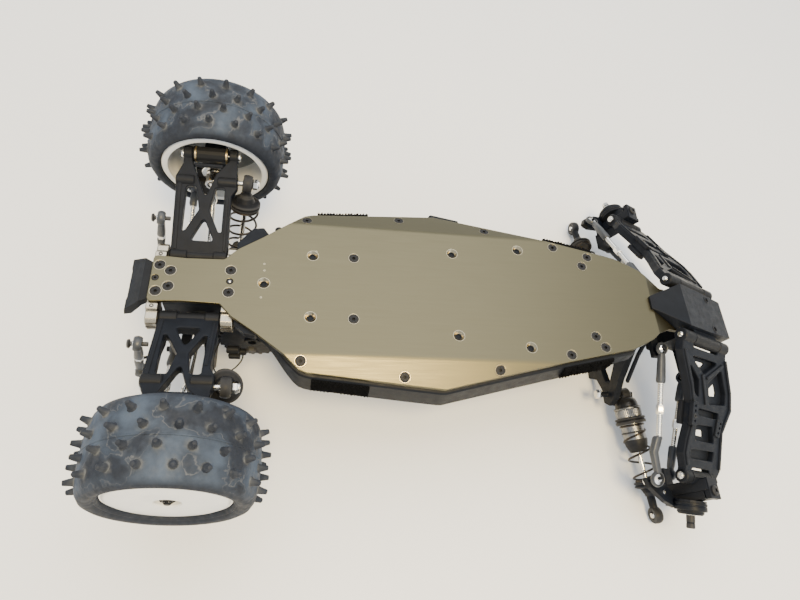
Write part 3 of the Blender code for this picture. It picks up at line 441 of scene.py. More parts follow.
def piece(name, bm, mat, body, matrix=None, replaced=(), angle=38.0, wear=None):
    """A finished mesh riding on its body."""
    if matrix is not None:
        bm.transform(matrix)
        if matrix.determinant() < 0:
            bmesh.ops.reverse_faces(bm, faces=bm.faces)
    mesh = bpy.data.meshes.new(name)
    bm.to_mesh(mesh)
    bm.free()
    mesh.shade_smooth()
    mesh.set_sharp_from_angle(angle=math.radians(angle))
    mesh.materials.append(MATS[mat])
    ob = bpy.data.objects.new(name, mesh)
    bpy.context.scene.collection.objects.link(ob)
    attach(ob, body)
    if replaced:
        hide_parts(*replaced)
    return ob


def crisp(ob):
    """Flat faces keep their own normals beside small rounded edges."""
    mod = ob.modifiers.new("weighted", "WEIGHTED_NORMAL")
    mod.keep_sharp = True
    mod.weight = 80
    return ob


def carried(node, mat, width=0.35):
    """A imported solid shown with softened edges."""
    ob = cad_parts[node]
    ob.data.materials.clear()
    ob.data.materials.append(MATS[mat])
    weld = ob.modifiers.new("weld", "WELD")
    weld.merge_threshold = 1e-6
    bevel = ob.modifiers.new("bevel", "BEVEL")
    bevel.width = width * MM
    bevel.segments = 2
    bevel.limit_method = "ANGLE"
    bevel.angle_limit = math.radians(31)
    bevel.use_clamp_overlap = True
    bevel.harden_normals = False
    return crisp(ob)


# ---- chassis plate ----------------------------------------------------------------------
PLATE_T = 2.5
TAIL_X = -41.0
WING_Y = 41.0
WING = math.radians(20.0)
FOLD_HALF = 1.5
GUARD_TOP = -PLATE_T - 0.3
PLATE_HALF = (
    (TAIL_X, 12.6), (-39.5, 14.0), (-24.0, 13.2), (-4.0, 13.8), (2.5, 21.0), (15.0, 29.5),
    (31.0, 41.5), (38.5, 48.5), (43.5, 50.2), (60.0, 51.6), (100.0, 55.3), (118.0, 56.8), (159.0, 47.3),
    (180.0, 42.5), (217.0, 34.2), (231.0, 31.0), (239.0, 27.2), (246.0, 23.5), (BEND_X, 20.0),
    (262.0, 14.5), (285.0, 11.5))
SCREWS = ((-37.2, 8.0), (-31.3, 4.8), (0.0, 6.9), (67.5, 19.5), (213.3, 30.6), (208.6, 23.8),
          (39.9, 44.6), (95.4, 51.0), (148.7, 46.0), (191.4, 36.1))
OPEN_HOLES = ((44.1, 19.5), (126.3, 26.9), (168.0, 32.4))


def half_width(x):
    for (x0, y0), (x1, y1) in zip(PLATE_HALF, PLATE_HALF[1:]):
        if x0 <= x <= x1:
            return y0 + (y1 - y0) * (x - x0) / (x1 - x0)
    return PLATE_HALF[-1][1]


def wing_drop(y):
    past = abs(y) - WING_Y
    if past < -FOLD_HALF:
        return 0.0
    if past > FOLD_HALF:
        return past * math.tan(WING)
    return (past + FOLD_HALF) ** 2 / (4 * FOLD_HALF) * math.tan(WING)


def on_plate(x, y):
    """A point of the plate's underside and the way it faces."""
    side = 1 if y > 0 else -1
    lean = WING if abs(y) > WING_Y + FOLD_HALF else 0.0
    return Vector((x, y, -wing_drop(y))), Vector((0, side * math.sin(lean), math.cos(lean)))


def seat(point, normal, bore, top):
    """The cut cone round a screw or an open hole."""
    deep = 2.4
    ring = turned(point - normal * deep, point, [(bore, 0.05), (bore, 1.0), (top - 0.15, deep + 0.03),
                                                 (top + 0.1, deep + 0.03), (top + 0.12, deep - 0.2),
                                                 (top - 0.3, deep - 0.5), (top - 0.3, 0.05), (bore, 0.05)],
                                                 32)
    bmesh.ops.remove_doubles(ring, verts=ring.verts, dist=1e-4)
    return ring


def chassis_plate():
    edge = [(x, -y) for x, y in PLATE_HALF] + [(x, y) for x, y in reversed(PLATE_HALF)]
    screws = [(x, s * y) for x, y in SCREWS for s in (-1, 1)]
    opened = [(x, s * y) for x, y in OPEN_HOLES for s in (-1, 1)] + [(18.1, 0.0)]
    small = [(-38.5, 0.0), (0.0, 0.0)]
    loops = [rounded(edge, 2.5, 6)] + [circle(x, y, 3.05, 32) for x, y in screws + opened]
    loops += [circle(x, y, 1.75) for x, y in small]
    bm = sheet(loops, -PLATE_T, 0.0, 0.3)
    cuts = [((BEND_X, 0, 0), (1, 0, 0))]
    for y in (39.5, 40.25, 41.0, 41.75, 42.5):
        cuts += [((0, y, 0), (0, 1, 0)), ((0, -y, 0), (0, 1, 0))]
    for point, normal in cuts:
        bmesh.ops.bisect_plane(bm, geom=bm.verts[:] + bm.edges[:] + bm.faces[:], plane_co=point,
                               plane_no=normal)
    hinge = Matrix.Translation((BEND_X, 0, 0))
    turn = hinge @ Matrix.Rotation(KICK, 4, "Y") @ hinge.inverted()
    for vert in bm.verts:
        vert.co.z -= wing_drop(vert.co.y)
        if vert.co.x > BEND_X + 0.01:
            vert.co = turn @ vert.co
    crisp(piece("plate", bm, "plate", "chassis", place(), ("chassis_plate",), 20))
    heads = []
    seats = []
    plugs = []
    for x, y in screws:
        point, normal = on_plate(x, y)
        heads.append(socket_head(point - normal * 1.3, normal, 2.86, 1.22, 0.36))
        seats.append(seat(point, normal, 2.92, 3.06))
    for x, y in small:
        point, normal = on_plate(x, y)
        heads.append(socket_head(point - normal * 1.3, normal, 1.62, 1.2, 0.45))
    for x, y in opened:
        point, normal = on_plate(x, y)
        seats.append(seat(point, normal, 1.9, 3.3))
        plugs.append(turned(point - normal * 2.3, point - normal * 1.2,
                            [(0, 0), (2.05, 0.05), (2.05, 0.9), (1.3, 1.0), (1.1, 0.5), (0, 0.4)], 24))
    for x, y in ((17.6, 12.2), (17.9, 8.0), (17.2, -9.0), (46.0, 22.5)):
        point, normal = on_plate(x, y)
        seats.append(turned(point - normal * 0.2, point,
                            [(0, 0), (0.62, 0.05), (0.6, 0.22), (0.4, 0.23), (0, 0.1)], 12))
    piece("plate_screws", join(*heads), "screw", "chassis", place())
    piece("plate_seats", join(*seats), "seat", "chassis", place())
    piece("plate_plugs", join(*plugs), "black", "chassis", place())
    pin = turned((0, 0, -1.2), (0, 0, 0), [(0, 0), (0.8, 0.1), (0.75, 1.2), (0.4, 1.4), (0, 1.45)], 14)
    piece("plate_pin", pin, "shaft", "chassis", place())


def strip(point, nu, nv):
    """A closed pad: point(i, j, layer) gives its front (1) and back (0) grids."""
    bm = bmesh.new()
    grids = [[[bm.verts.new(point(i, j, layer)) for j in range(nv)] for i in range(nu)] for layer in (0, 1)]
    for grid in grids:
        for i in range(nu - 1):
            for j in range(nv - 1):
                bm.faces.new((grid[i][j], grid[i + 1][j], grid[i + 1][j + 1], grid[i][j + 1]))
    back, front = grids
    for i in range(nu - 1):
        for j in (0, nv - 1):
            bm.faces.new((back[i][j], back[i + 1][j], front[i + 1][j], front[i][j]))
    for j in range(nv - 1):
        for i in (0, nu - 1):
            bm.faces.new((back[i][j], back[i][j + 1], front[i][j + 1], front[i][j]))
    bmesh.ops.recalc_face_normals(bm, faces=bm.faces)
    return bm


def ease(x, start, end):
    t = min(max((x - start) / (end - start), 0.0), 1.0)
    return t * t * (3 - 2 * t)


def side_guard(side, name):
    """Rail under the plate's edge with a wall that leans outward, and patches of hook tape on it."""
    def shape(x):
        middle = ease(x, 24, 38) * (1 - ease(x, 214, 228))
        return half_width(x), 2.4 + middle, 9.0 + 4.0 * middle

    bm = bmesh.new()
    rings = []
    steps = 74
    for k in range(steps + 1):
        x = 16.0 + (233.0 - 16.0) * k / steps
        w, flare, deep = shape(x)
        w -= 4.5 * (1 - ease(x, 20.0, 32.0))
        low = GUARD_TOP
        lip = 1.2 if side > 0 else 0.0
        section = ((w - 9, low), (w + 0.8 + lip, low), (w + 1.6 + lip, low - 0.8),
                   (w + flare + lip, low - deep + 0.6),
                   (w + flare - 0.4 + lip, low - deep), (w + flare - 1.5, low - deep),
                   (w + flare - 1.9, low - deep + 0.5),
                   (w - 0.7, low - 3.0), (w - 1.4, low - 2.4), (w - 9, low - 2.4))
        rings.append([bm.verts.new((x, side * y, z - wing_drop(y))) for y, z in section])
    count = len(rings[0])
    skin(bm, rings)
    bm.faces.new(rings[0])
    bm.faces.new(rings[-1])
    bmesh.ops.recalc_face_normals(bm, faces=bm.faces)
    if side < 0:
        fin = [(4.0, 19.0), (4.0, 24.0), (10.0, 29.5), (16.0, 31.0), (18.5, 26.5)]
    else:
        fin = [(2.0, 20.5), (1.5, 27.0), (9.5, 37.5), (15.5, 38.5), (20.5, 31.5), (17.0, 27.0)]
    bm = join(bm, sheet([rounded([(x, side * y) for x, y in fin], 1.2)], -7.5, GUARD_TOP - 0.1, 0.5))
    if side > 0:
        bm = join(bm, turned((24.0, 37.2, -6.0), (24.0, 37.2, -1.4),
                             [(0, 0), (2.0, 0.2), (2.2, 3.4), (1.5, 4.4), (0, 4.6)], 20))
    for x in (58.0, 84.0, 108.0, 138.0, 172.0, 204.0):
        w = half_width(x)
        low = GUARD_TOP - wing_drop(w)
        bm = join(bm, brick(x - 1.1, x + 1.1, side * (w - 6), side * (w + 1.4), low - 9.0, low - 1.5, 0.4)
                  if side > 0 else brick(x - 1.1, x + 1.1, -w - 1.4, -w + 6, low - 9.0, low - 1.5, 0.4))
    if side > 0:
        tab = [(112.0, 54.5), (116.5, 60.6), (135.0, 57.2), (133.0, 52.8)]
        bm = join(bm, sheet([rounded(tab, 1.0)], -11.0, -8.2, 0.5))
    crisp(piece(name + "_rail", bm, "black", "chassis", place(), (name,), 24))
    for number, (start, end, rise) in enumerate(((46.0, 77.0, 0.0), (188.0, 219.0, 0.0))):
        def hook(i, j, layer):
            x = start + (end - start) * i / 34
            w, flare, deep = shape(x)
            t = 0.0 + 0.86 * j / 7
            out = w + 1.6 + (flare - 1.6) * t
            low = GUARD_TOP - wing_drop(w + 2.0) - 0.8 - (deep - 1.6) * t
            jut = 0.0 if layer == 0 else 0.45 + 1.25 * ((i + j) % 2) + rng.uniform(-0.2, 0.4)
            out += 1.2 if side > 0 else 0.0
            return Vector((x, side * (out + jut), low + 0.45 * jut + rise))

        piece("%s_hook_%d" % (name, number + 1), strip(hook, 35, 8), "hook", "chassis", place(), angle=20)


def arm_block(node, x0, x1):
    """Alloy block with rounded ends, stepped beside the plate, with the hinge pin bushes in it."""
    half = [(11.0, -9.5), (11.0, -14.0), (20.0, -14.3), (24.9, -12.6), (24.9, -5.4), (22.6, -3.6),
            (18.6, -3.4),
            (17.8, -1.6), (14.1, -1.6), (13.9, -2.8)]
    loop = [(y, z) for y, z in half] + [(-y, z) for y, z in reversed(half)]
    bm = sheet([rounded(loop, 1.4, 5)], x0, x1, 0.45, "x")
    crisp(piece(node + "_alloy", bm, "champagne", "chassis", place(), (node,), 22))
    bushes = []
    marks = []
    for s in (-1, 1):
        y = 19.5 * s
        for x, way in ((x0, -1), (x1, 1)):
            bushes.append(turned((x - way * 0.6, y, -8.8), (x + way * 0.5, y, -8.8),
                                 [(1.9, 0), (3.3, 0), (3.3, 0.85), (3.0, 1.1), (1.9, 1.1), (1.9, 0)], 24))
        mid = (x0 + x1) / 2
        marks.append(rod((x0 - 0.05, 24.6 * s, -9.2), (x1 + 0.05, 24.6 * s, -9.2), 0.7, 0.2, 12))
        marks.append(socket_head((mid, 16.0 * s, -2.4), (0, 0, 1), 1.2, 1.0, 0.5))
    piece(node + "_bushes", join(*bushes), "black", "chassis", place())
    piece(node + "_marks", join(*marks), "dark", "chassis", place())


def nose():
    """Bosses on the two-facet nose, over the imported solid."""
    carried("nose_bulkhead", "black", 0.5)
    rings = []
    out = Vector((math.sin(KICK), 0, math.cos(KICK)))
    for s in (-1, 1):
        at = Vector((296.6, 10.4 * s, -10.2))
        rings.append(turned(at - out * 0.9, at + out,
                            [(1.45, 0), (2.5, 0), (2.5, 1.0), (2.2, 1.25), (1.6, 1.25),
                                                       (1.45, 1.0), (1.45, 0)], 24))
    piece("nose_bosses", join(*rings), "black", "chassis", place())
    pins = []
    for s in (-1, 1):
        start = Vector((267.6, s * 19.2, -2.7))
        along = Vector((math.cos(KICK), 0, -math.sin(KICK)))
        pins.append(rod(start - along * 4.6, start + along * 45.4, 1.5, 0.3))
    piece("front_hinge_pins", join(*pins), "shaft", "chassis", place())


# ---- rear suspension --------------------------------------------------------------------
REAR_DROOP = math.radians(20.1)
REAR_ARM = 60.5
CAMBER = math.radians(4.5)
WHEEL = (-16.2, 97.2, -3.3)


def rear_arm(label, side):
    out = Vector((0, side * math.cos(REAR_DROOP), math.sin(REAR_DROOP)))
    at = place((-19.2, side * 19.5, -8.8), frame_axes((1, 0, 0), out), side)
    body = "rear_arm_" + label
    outline = [(-15.4, -2.0), (-15.4, 47.0), (-12.2, 54.0), (-12.2, 64.2), (-7.4, 64.2), (-7.4, 56.0),
               (-4.4, 48.0),
               (1.2, 34.0), (6.4, 49.0), (13.0, 57.0), (13.0, 64.2), (17.6, 64.2), (17.6, 51.0), (18.4, 47.6),
               (18.4, 40.8), (15.4, 36.0), (15.4, -2.0)]
    windows = [[(-10.6, 14.5), (-8.8, 14.5), (-1.9, 27.0), (-4.2, 40.6), (-9.6, 40.6)],
               [(11.2, 14.5), (9.4, 14.5), (3.9, 27.0), (6.4, 40.6), (11.6, 40.6)],
               [(-5.6, 9.0), (7.4, 9.0), (1.2, 22.5)]]
    inset = [[(-14.2, 3.4), (-14.2, 45.0), (-12.2, 45.0), (-12.2, 3.4)],
             [(14.2, 3.4), (14.2, 35.0), (12.6, 35.0), (12.6, 3.4)]]
    bm = join(sheet([rounded(outline, 1.6, 6)] + [rounded(w, 1.6, 6) for w in windows], -2.8, 2.6, 0.6),
              rod((-15.4, 0, 0), (-6.2, 0, 0), 4.1, 0.5, 28), rod((7.8, 0, 0), (15.4, 0, 0), 4.1, 0.5, 28),
              rod((-6.4, 0, 0), (8.0, 0, 0), 3.3, 0.3, 28),
              rod((-15.6, 44.2, 0.6), (-5.2, 44.2, 0.6), 3.5, 0.6, 28),
              rod((7.4, 44.2, 0.6), (18.5, 44.2, 0.6), 3.5, 0.6, 28),
              rod((-12.4, REAR_ARM, 0), (-7.4, REAR_ARM, 0), 4.3, 0.6, 28),
              rod((12.9, REAR_ARM, 0), (17.7, REAR_ARM, 0), 4.3, 0.6, 28),
              brick(-6.0, 10.0, 52.3, 54.3, 0.8, 3.4, 0.5))
    for loop in inset:
        bm = join(bm, sheet([rounded(loop, 0.6, 3)], 2.2, 3.1, 0.35))
    crisp(piece("rear_arm_%s_moulding" % label, bm, "black", body, at, ("rear_arm_" + label,), 22))
    pins = join(rod((-15.5, 0, 0), (15.5, 0, 0), 1.6, 0.2),
                rod((-13.4, REAR_ARM, 0), (18.6, REAR_ARM, 0), 1.55, 0.2),
                socket_head((-12.4, REAR_ARM, 0), (-1, 0, 0), 2.5, 1.7, 0.42, 0.4),
                socket_head((17.7, REAR_ARM, 0), (1, 0, 0), 2.5, 1.7, 0.42, 0.4))
    piece("rear_pins_" + label, pins, "steel", body, at)
    eye = frame_axes((1, 0, 0), out).inverted() @ (Vector((4.6, side * 62.5, 5.6))
                                                   - Vector((-19.2, side * 19.5, -8.8)))
    eye.z *= side
    bolt = join(rod((17.6, eye.y, eye.z), (30.4, eye.y, eye.z), 1.4, 0.3),
                hexnut((26.6, eye.y, eye.z), (29.8, eye.y, eye.z), 5.4),
                turned((29.6, eye.y, eye.z), (30.6, eye.y, eye.z),
                       [(1.5, 0), (2.4, 0), (2.2, 0.9), (1.5, 1.1), (1.5, 0)], 20))
    piece("rear_shock_bolt_" + label, bolt, "steel", body, at)


def rear_hub(label, side):
    body = "rear_hub_" + label
    carried("rear_hub_carrier_" + label, "black", 0.5)
    pin = Vector((-19.2, side * 19.5, -8.8)) + Vector((0, side * math.cos(REAR_DROOP),
                                                       math.sin(REAR_DROOP))) * REAR_ARM
    at = place((-16.2, pin.y, pin.z), frame_axes((1, 0, 0), (0, side, 0)), side)
    rings = []
    for x in (-9.4, 7.8):
        rings.append(turned((x, 0, 0), (x + 1.3, 0, 0),
                            [(4.3, 0), (4.78, 0.15), (4.78, 1.15), (4.3, 1.3), (4.3, 0)], 30))
    piece("hub_rings_" + label, join(*rings), "gold", body, at)
    spin = Vector((0, side * math.cos(CAMBER), math.sin(CAMBER)))
    centre = Vector((WHEEL[0], side * WHEEL[1], WHEEL[2]))
    bearing = turned(centre - spin * 20.9, centre - spin * 18.0,
                     [(4.2, 0), (7.4, 0), (7.8, 0.4), (7.8, 2.6), (4.2, 2.6), (4.2, 0)], 30)
    piece("hub_bearing_" + label, bearing, "steel", body, place())
    boss = join(rod((-10.9, 0.2, -31.9), (-9.0, 0.2, -31.9), 2.6, 0.5),
                rod((-11.2, 0.2, -31.9), (-10.8, 0.2, -31.9), 1.5, 0.1))
    piece("hub_boss_" + label, boss, "black", body, at)


def tyre_mesh():
    """Carcass with a raised centre seam, four rows of tapered pins and chalky wear."""
    wall = [(32.6, 20.35), (34.4, 20.5), (36.6, 19.4), (38.3, 16.9), (39.2, 13.6), (39.7, 9.6),
            (39.95, 5.0), (40.0, 1.1)]
    beads = ([(29.0, 15.4), (29.1, 16.9), (29.3, 18.3), (30.0, 19.0), (30.6, 18.9), (31.0, 19.3),
              (31.7, 20.0)],
             [(28.8, 15.8), (29.6, 16.3), (30.9, 16.6), (31.3, 18.0), (31.7, 19.6)])
    halves = []
    for bead in beads:
        rough = bead + wall
        half = []
        for (r0, z0), (r1, z1) in zip(rough, rough[1:]):
            half += [(r0, z0), ((r0 + r1) / 2, (z0 + z1) / 2)]
        halves.append(half + [rough[-1], (40.0, 0.55), (40.35, 0.3)])
    profile = halves[0] + [(r, -z) for r, z in reversed(halves[1])] + [(37.2, -14.8), (37.4, 0.0),
                                                                       (37.2, 14.8)]
    sides = 132
    bm = bmesh.new()
    wear = bm.verts.layers.float.new("wear")
    chalk = bm.verts.layers.float.new("chalk")
    pins = []
    for row, offset in ((-12.4, 0.5), (-4.3, 0.0), (4.3, 0.5), (12.4, 0.0)):
        for k in range(18):
            pins.append((PI2 * (k + offset) / 18 + rng.uniform(-0.01, 0.01), row))
    rings = []
    for r, z in profile:
        ring = []
        for k in range(sides):
            angle = PI2 * k / sides
            vert = bm.verts.new((r * math.cos(angle), r * math.sin(angle), z))
            if r > 36.0:
                vert[wear] = min(max((r - 35.8) / 2.4, 0.0), 1.0)
                near = min(math.hypot((((angle - a + math.pi) % PI2) - math.pi) * 40.0, z - row) for a,
                           row in pins)
                vert[chalk] = 0.85 * min(max(1.0 - (near - 1.6) / 1.9, 0.0), 1.0)
            ring.append(vert)
        rings.append(ring)
    for i, ring in enumerate(rings):
        after = rings[(i + 1) % len(rings)]
        for k in range(sides):
            j = (k + 1) % sides
            bm.faces.new((ring[k], ring[j], after[j], after[k]))
    bmesh.ops.recalc_face_normals(bm, faces=bm.faces)
    corners = 10
    for angle, row in pins:
        lean = math.radians(13.0) * (1 if row > 8 else -1 if row < -8 else 0)
        base = 39.35 if abs(row) > 8 else 39.9
        up = Vector((math.cos(angle) * math.cos(lean), math.sin(angle) * math.cos(lean), math.sin(lean)))
        foot = Vector((base * math.cos(angle), base * math.sin(angle), row))
        side_way = Vector((-math.sin(angle), math.cos(angle), 0))
        cross = up.cross(side_way)
        levels = ((2.6, -0.35, 0.7), (2.1, 0.15, 0.8), (1.8, 0.6, 0.3), (1.15, 4.2, 0.0), (0.85, 4.5, 0.1))
        loops = []
        for radius, rise, white in levels:
            loop = []
            for k in range(corners):
                turn = PI2 * k / corners
                vert = bm.verts.new(foot + up * rise + side_way * radius * math.cos(turn)
                                    + cross * radius * math.sin(turn))
                vert[wear] = 0.0
                vert[chalk] = white
                loop.append(vert)
            loops.append(loop)
        skin(bm, loops)
        bm.faces.new(loops[-1])
        bm.faces.new(list(reversed(loops[0])))
    return bm


def rear_wheel(label, side):
    body = "rear_wheel_" + label
    spin = Vector((0, side * math.cos(CAMBER), math.sin(CAMBER)))
    ex = Vector((1, 0, 0))
    axes = Matrix((ex, spin.cross(ex), spin)).transposed()
    at = place((WHEEL[0], side * WHEEL[1], WHEEL[2]), axes)
    rim = [(3.1, 3.4), (7.6, 3.6), (8.0, 14.6), (10.0, 15.6), (25.2, 14.3), (26.3, 12.8), (26.4, -15.6),
           (27.2, -17.0),
           (27.5, -19.0), (29.0, -19.3), (30.4, -19.2), (31.0, -18.5), (30.8, -17.0), (29.2, -16.4),
           (28.3, -15.4),
           (28.1, 0.0), (28.3, 14.6), (28.9, 15.2), (28.9, 16.4), (28.5, 16.9), (27.9, 16.7), (27.5, 16.9),
           (27.0, 17.5),
           (26.0, 17.9), (18.0, 18.3), (9.0, 18.5), (6.6, 18.3), (6.1, 17.6), (5.9, 10.6), (5.5, 10.2),
           (3.1, 10.2),
           (3.1, 3.4)]
    bm = lathe(rim, 96)
    bmesh.ops.remove_doubles(bm, verts=bm.verts, dist=1e-4)
    bmesh.ops.recalc_face_normals(bm, faces=bm.faces)
    crisp(piece("rim_" + label, bm, "rim", body, at, ("rear_rim_" + label,), 30))
    # The grey lining and ribs in the rim's dish are painted shade: the rim is white nylon throughout, and
    # this grey stands in for the shade inside the dish.
    shade_lining = lathe([(8.4, 14.4), (10.2, 15.1), (24.8, 13.9), (25.9, 12.6), (26.1, 2.0), (25.8, 2.0),
                    (25.5, 12.2), (24.4, 13.4),
                    (10.2, 14.6), (8.5, 13.8), (8.4, 14.4)], 96)
    bmesh.ops.remove_doubles(shade_lining, verts=shade_lining.verts, dist=1e-4)
    bmesh.ops.recalc_face_normals(shade_lining, faces=shade_lining.faces)
    ribs = []
    for k in range(6):
        rib = brick(8.0, 25.0, -0.7, 0.7, 11.2, 14.6, 0.3)
        rib.transform(Matrix.Rotation(k * math.pi / 3 + 0.3, 4, "Z"))
        ribs.append(rib)
    piece("rim_painted_shade_" + label, join(shade_lining, *ribs), "shaded_dish", body, at)
    nut = join(hexnut((0, 0, 13.4), (0, 0, 17.6), 6.4, 1.9),
               turned((0, 0, 10.3), (0, 0, 13.6),
                      [(1.9, 0), (5.2, 0), (5.4, 0.6), (4.6, 3.3), (1.9, 3.3), (1.9, 0)], 30),
               turned((0, 0, 10.0), (0, 0, 18.9), [(0, 0), (1.9, 0), (1.9, 8.3), (1.4, 8.9), (0, 8.9)], 20))
    piece("wheel_nut_" + label, nut, "black", body, at)
    carried("rear_axle_" + label, "steel", 0.2)
    piece("tyre_" + label, tyre_mesh(), "tyre", body, at, ("rear_tyre_" + label,), 50)


def half_shaft(label, side):
    """Driveshaft with a ball and cross pin at each end."""
    spin = Vector((0, side * math.cos(CAMBER), math.sin(CAMBER)))
    outer = Vector((WHEEL[0], side * WHEEL[1], WHEEL[2])) - spin * 27.8
    inner = Vector((-16.2, side * 16.8, -22.0))
    way = (outer - inner).normalized()
    span = (outer - inner).length
    profile = [(0, 0), (1.9, 0.1), (1.9, 6.0), (2.5, 7.6), (2.5, 11.0), (1.75, 13.0), (1.75, span - 13.0),
               (2.5, span - 11.0),
               (2.5, span - 8.0), (1.9, span - 6.0), (1.9, span - 0.1), (0, span)]
    bm = join(turned(inner, outer, profile, 24), ball(inner, 3.1, 20), ball(outer, 2.85, 20))
    for end, reach in ((inner, 4.2), (outer, 3.4)):
        bm = join(bm, rod(end - Vector((reach, 0, 0)), end + Vector((reach, 0, 0)), 1.0, 0.2, 14))
    piece("half_shaft_" + label, bm, "steel", "driveshaft_" + label, place(), ("driveshaft_" + label,))


# ---- links ------------------------------------------------------------------------------
def link(node, body, start, end, stud, cups=(13.0, 13.0), radii=(3.9, 3.9), half=2.0, hexagon=4.2, bow=0.0,
         cup_mat="grey",
         bores=(2.3, 2.3)):
    """Two moulded ball cups on a steel turnbuckle, each with its ball."""
    start = Vector(start)
    end = Vector(end)
    span = (end - start).length
    out = (end - start).normalized()
    ex = Vector(stud)
    ex = (ex - out * ex.dot(out)).normalized()
    at = place(start, Matrix((ex, out, ex.cross(out))).transposed())
    cups_bm = []
    balls = []
    for y, way, cup, radius, bore in ((0.0, 1, cups[0], radii[0], bores[0]),
                                      (span, -1, cups[1], radii[1], bores[1])):
        swell = bore / 2.3
        ring = turned((-half, y, 0), (half, y, 0),
                      [(bore, 0.2), (radius - 0.5, 0), (radius, 0.7), (radius + 0.25, half),
                       (radius, 2 * half - 0.7),
                       (radius - 0.5, 2 * half), (bore, 2 * half - 0.2), (bore - 0.2, half), (bore, 0.2)], 28)
        bmesh.ops.remove_doubles(ring, verts=ring.verts, dist=1e-4)
        cups_bm.append(ring)
        sections = ((radius - 1.0, 1.6, 1.9, 0.0), (radius + 1.6, 1.9, 2.3, 0.25),
                    (cup * 0.62, 2.1, 2.5, 1.0), (cup - 1.2, 2.3, 2.6, 0.35),
                    (cup, 1.9, 2.2, 0.2))
        bm = bmesh.new()
        rings = []
        for reach, thick, wide, curve in sections:
            loop = []
            offset = bow * curve if way < 0 else 0.0
            for k in range(16):
                turn = PI2 * k / 16
                c, s = math.cos(turn), math.sin(turn)
                c = math.copysign(abs(c) ** 0.6, c)
                s = math.copysign(abs(s) ** 0.6, s)
                loop.append(bm.verts.new((thick * c + offset, y + way * reach, wide * s + offset * 1.6)))
            rings.append(loop)
        skin(bm, rings)
        bm.faces.new(rings[0])
        bm.faces.new(rings[-1])
        bmesh.ops.recalc_face_normals(bm, faces=bm.faces)
        cups_bm.append(bm)
        balls.append(turned((-half - 0.5, y, 0), (half + 0.5, y, 0),
                            [(0, 0), (1.25, 0), (1.3, 0.4), (1.9 * swell, half - 0.4),
                             (2.08 * swell, half + 0.5),
                             (1.9 * swell, half + 1.4), (1.3, 2 * half + 0.6),
                             (1.25, 2 * half + 1.0), (0, 2 * half + 1.0)], 24))
    piece(node + "_cups", join(*cups_bm), cup_mat, body, at, (node,))
    middle = span / 2 + (cups[0] - cups[1]) / 2
    first, last = cups[0] - 1.0, span - cups[1] + 1.0
    profile = [(0, 0)]
    length = last - first
    steps = 10
    for k in range(steps):
        y = 0.2 + (length / 2 - 3.4) * k / steps
        profile += [(1.6, y), (1.42, y + 0.25), (1.6, y + 0.5)]
    profile += [(1.6, length / 2 - 3.0), (1.6, length / 2 + 3.0)]
    for k in range(steps):
        y = length / 2 + 3.2 + (length / 2 - 3.4) * k / steps
        profile += [(1.6, y), (1.42, y + 0.25), (1.6, y + 0.5)]
    profile.append((0, length))
    rod_bm = join(turned((0, first, 0), (0, last, 0), profile, 18),
                  hexnut((0, middle - 2.8, 0), (0, middle + 2.8, 0), hexagon))
    piece(node + "_turnbuckle", rod_bm, "steel", body, at)
    piece(node + "_balls", join(*balls), "steel", body, at)


# ---- shocks -----------------------------------------------------------------------------
def fattened(bm, amount):
    """The lathe grown outward; its bore keeps its size."""
    for vert in bm.verts:
        if math.hypot(vert.co.x, vert.co.y) > 3.0:
            vert.co.x *= amount
            vert.co.y *= amount
    return bm


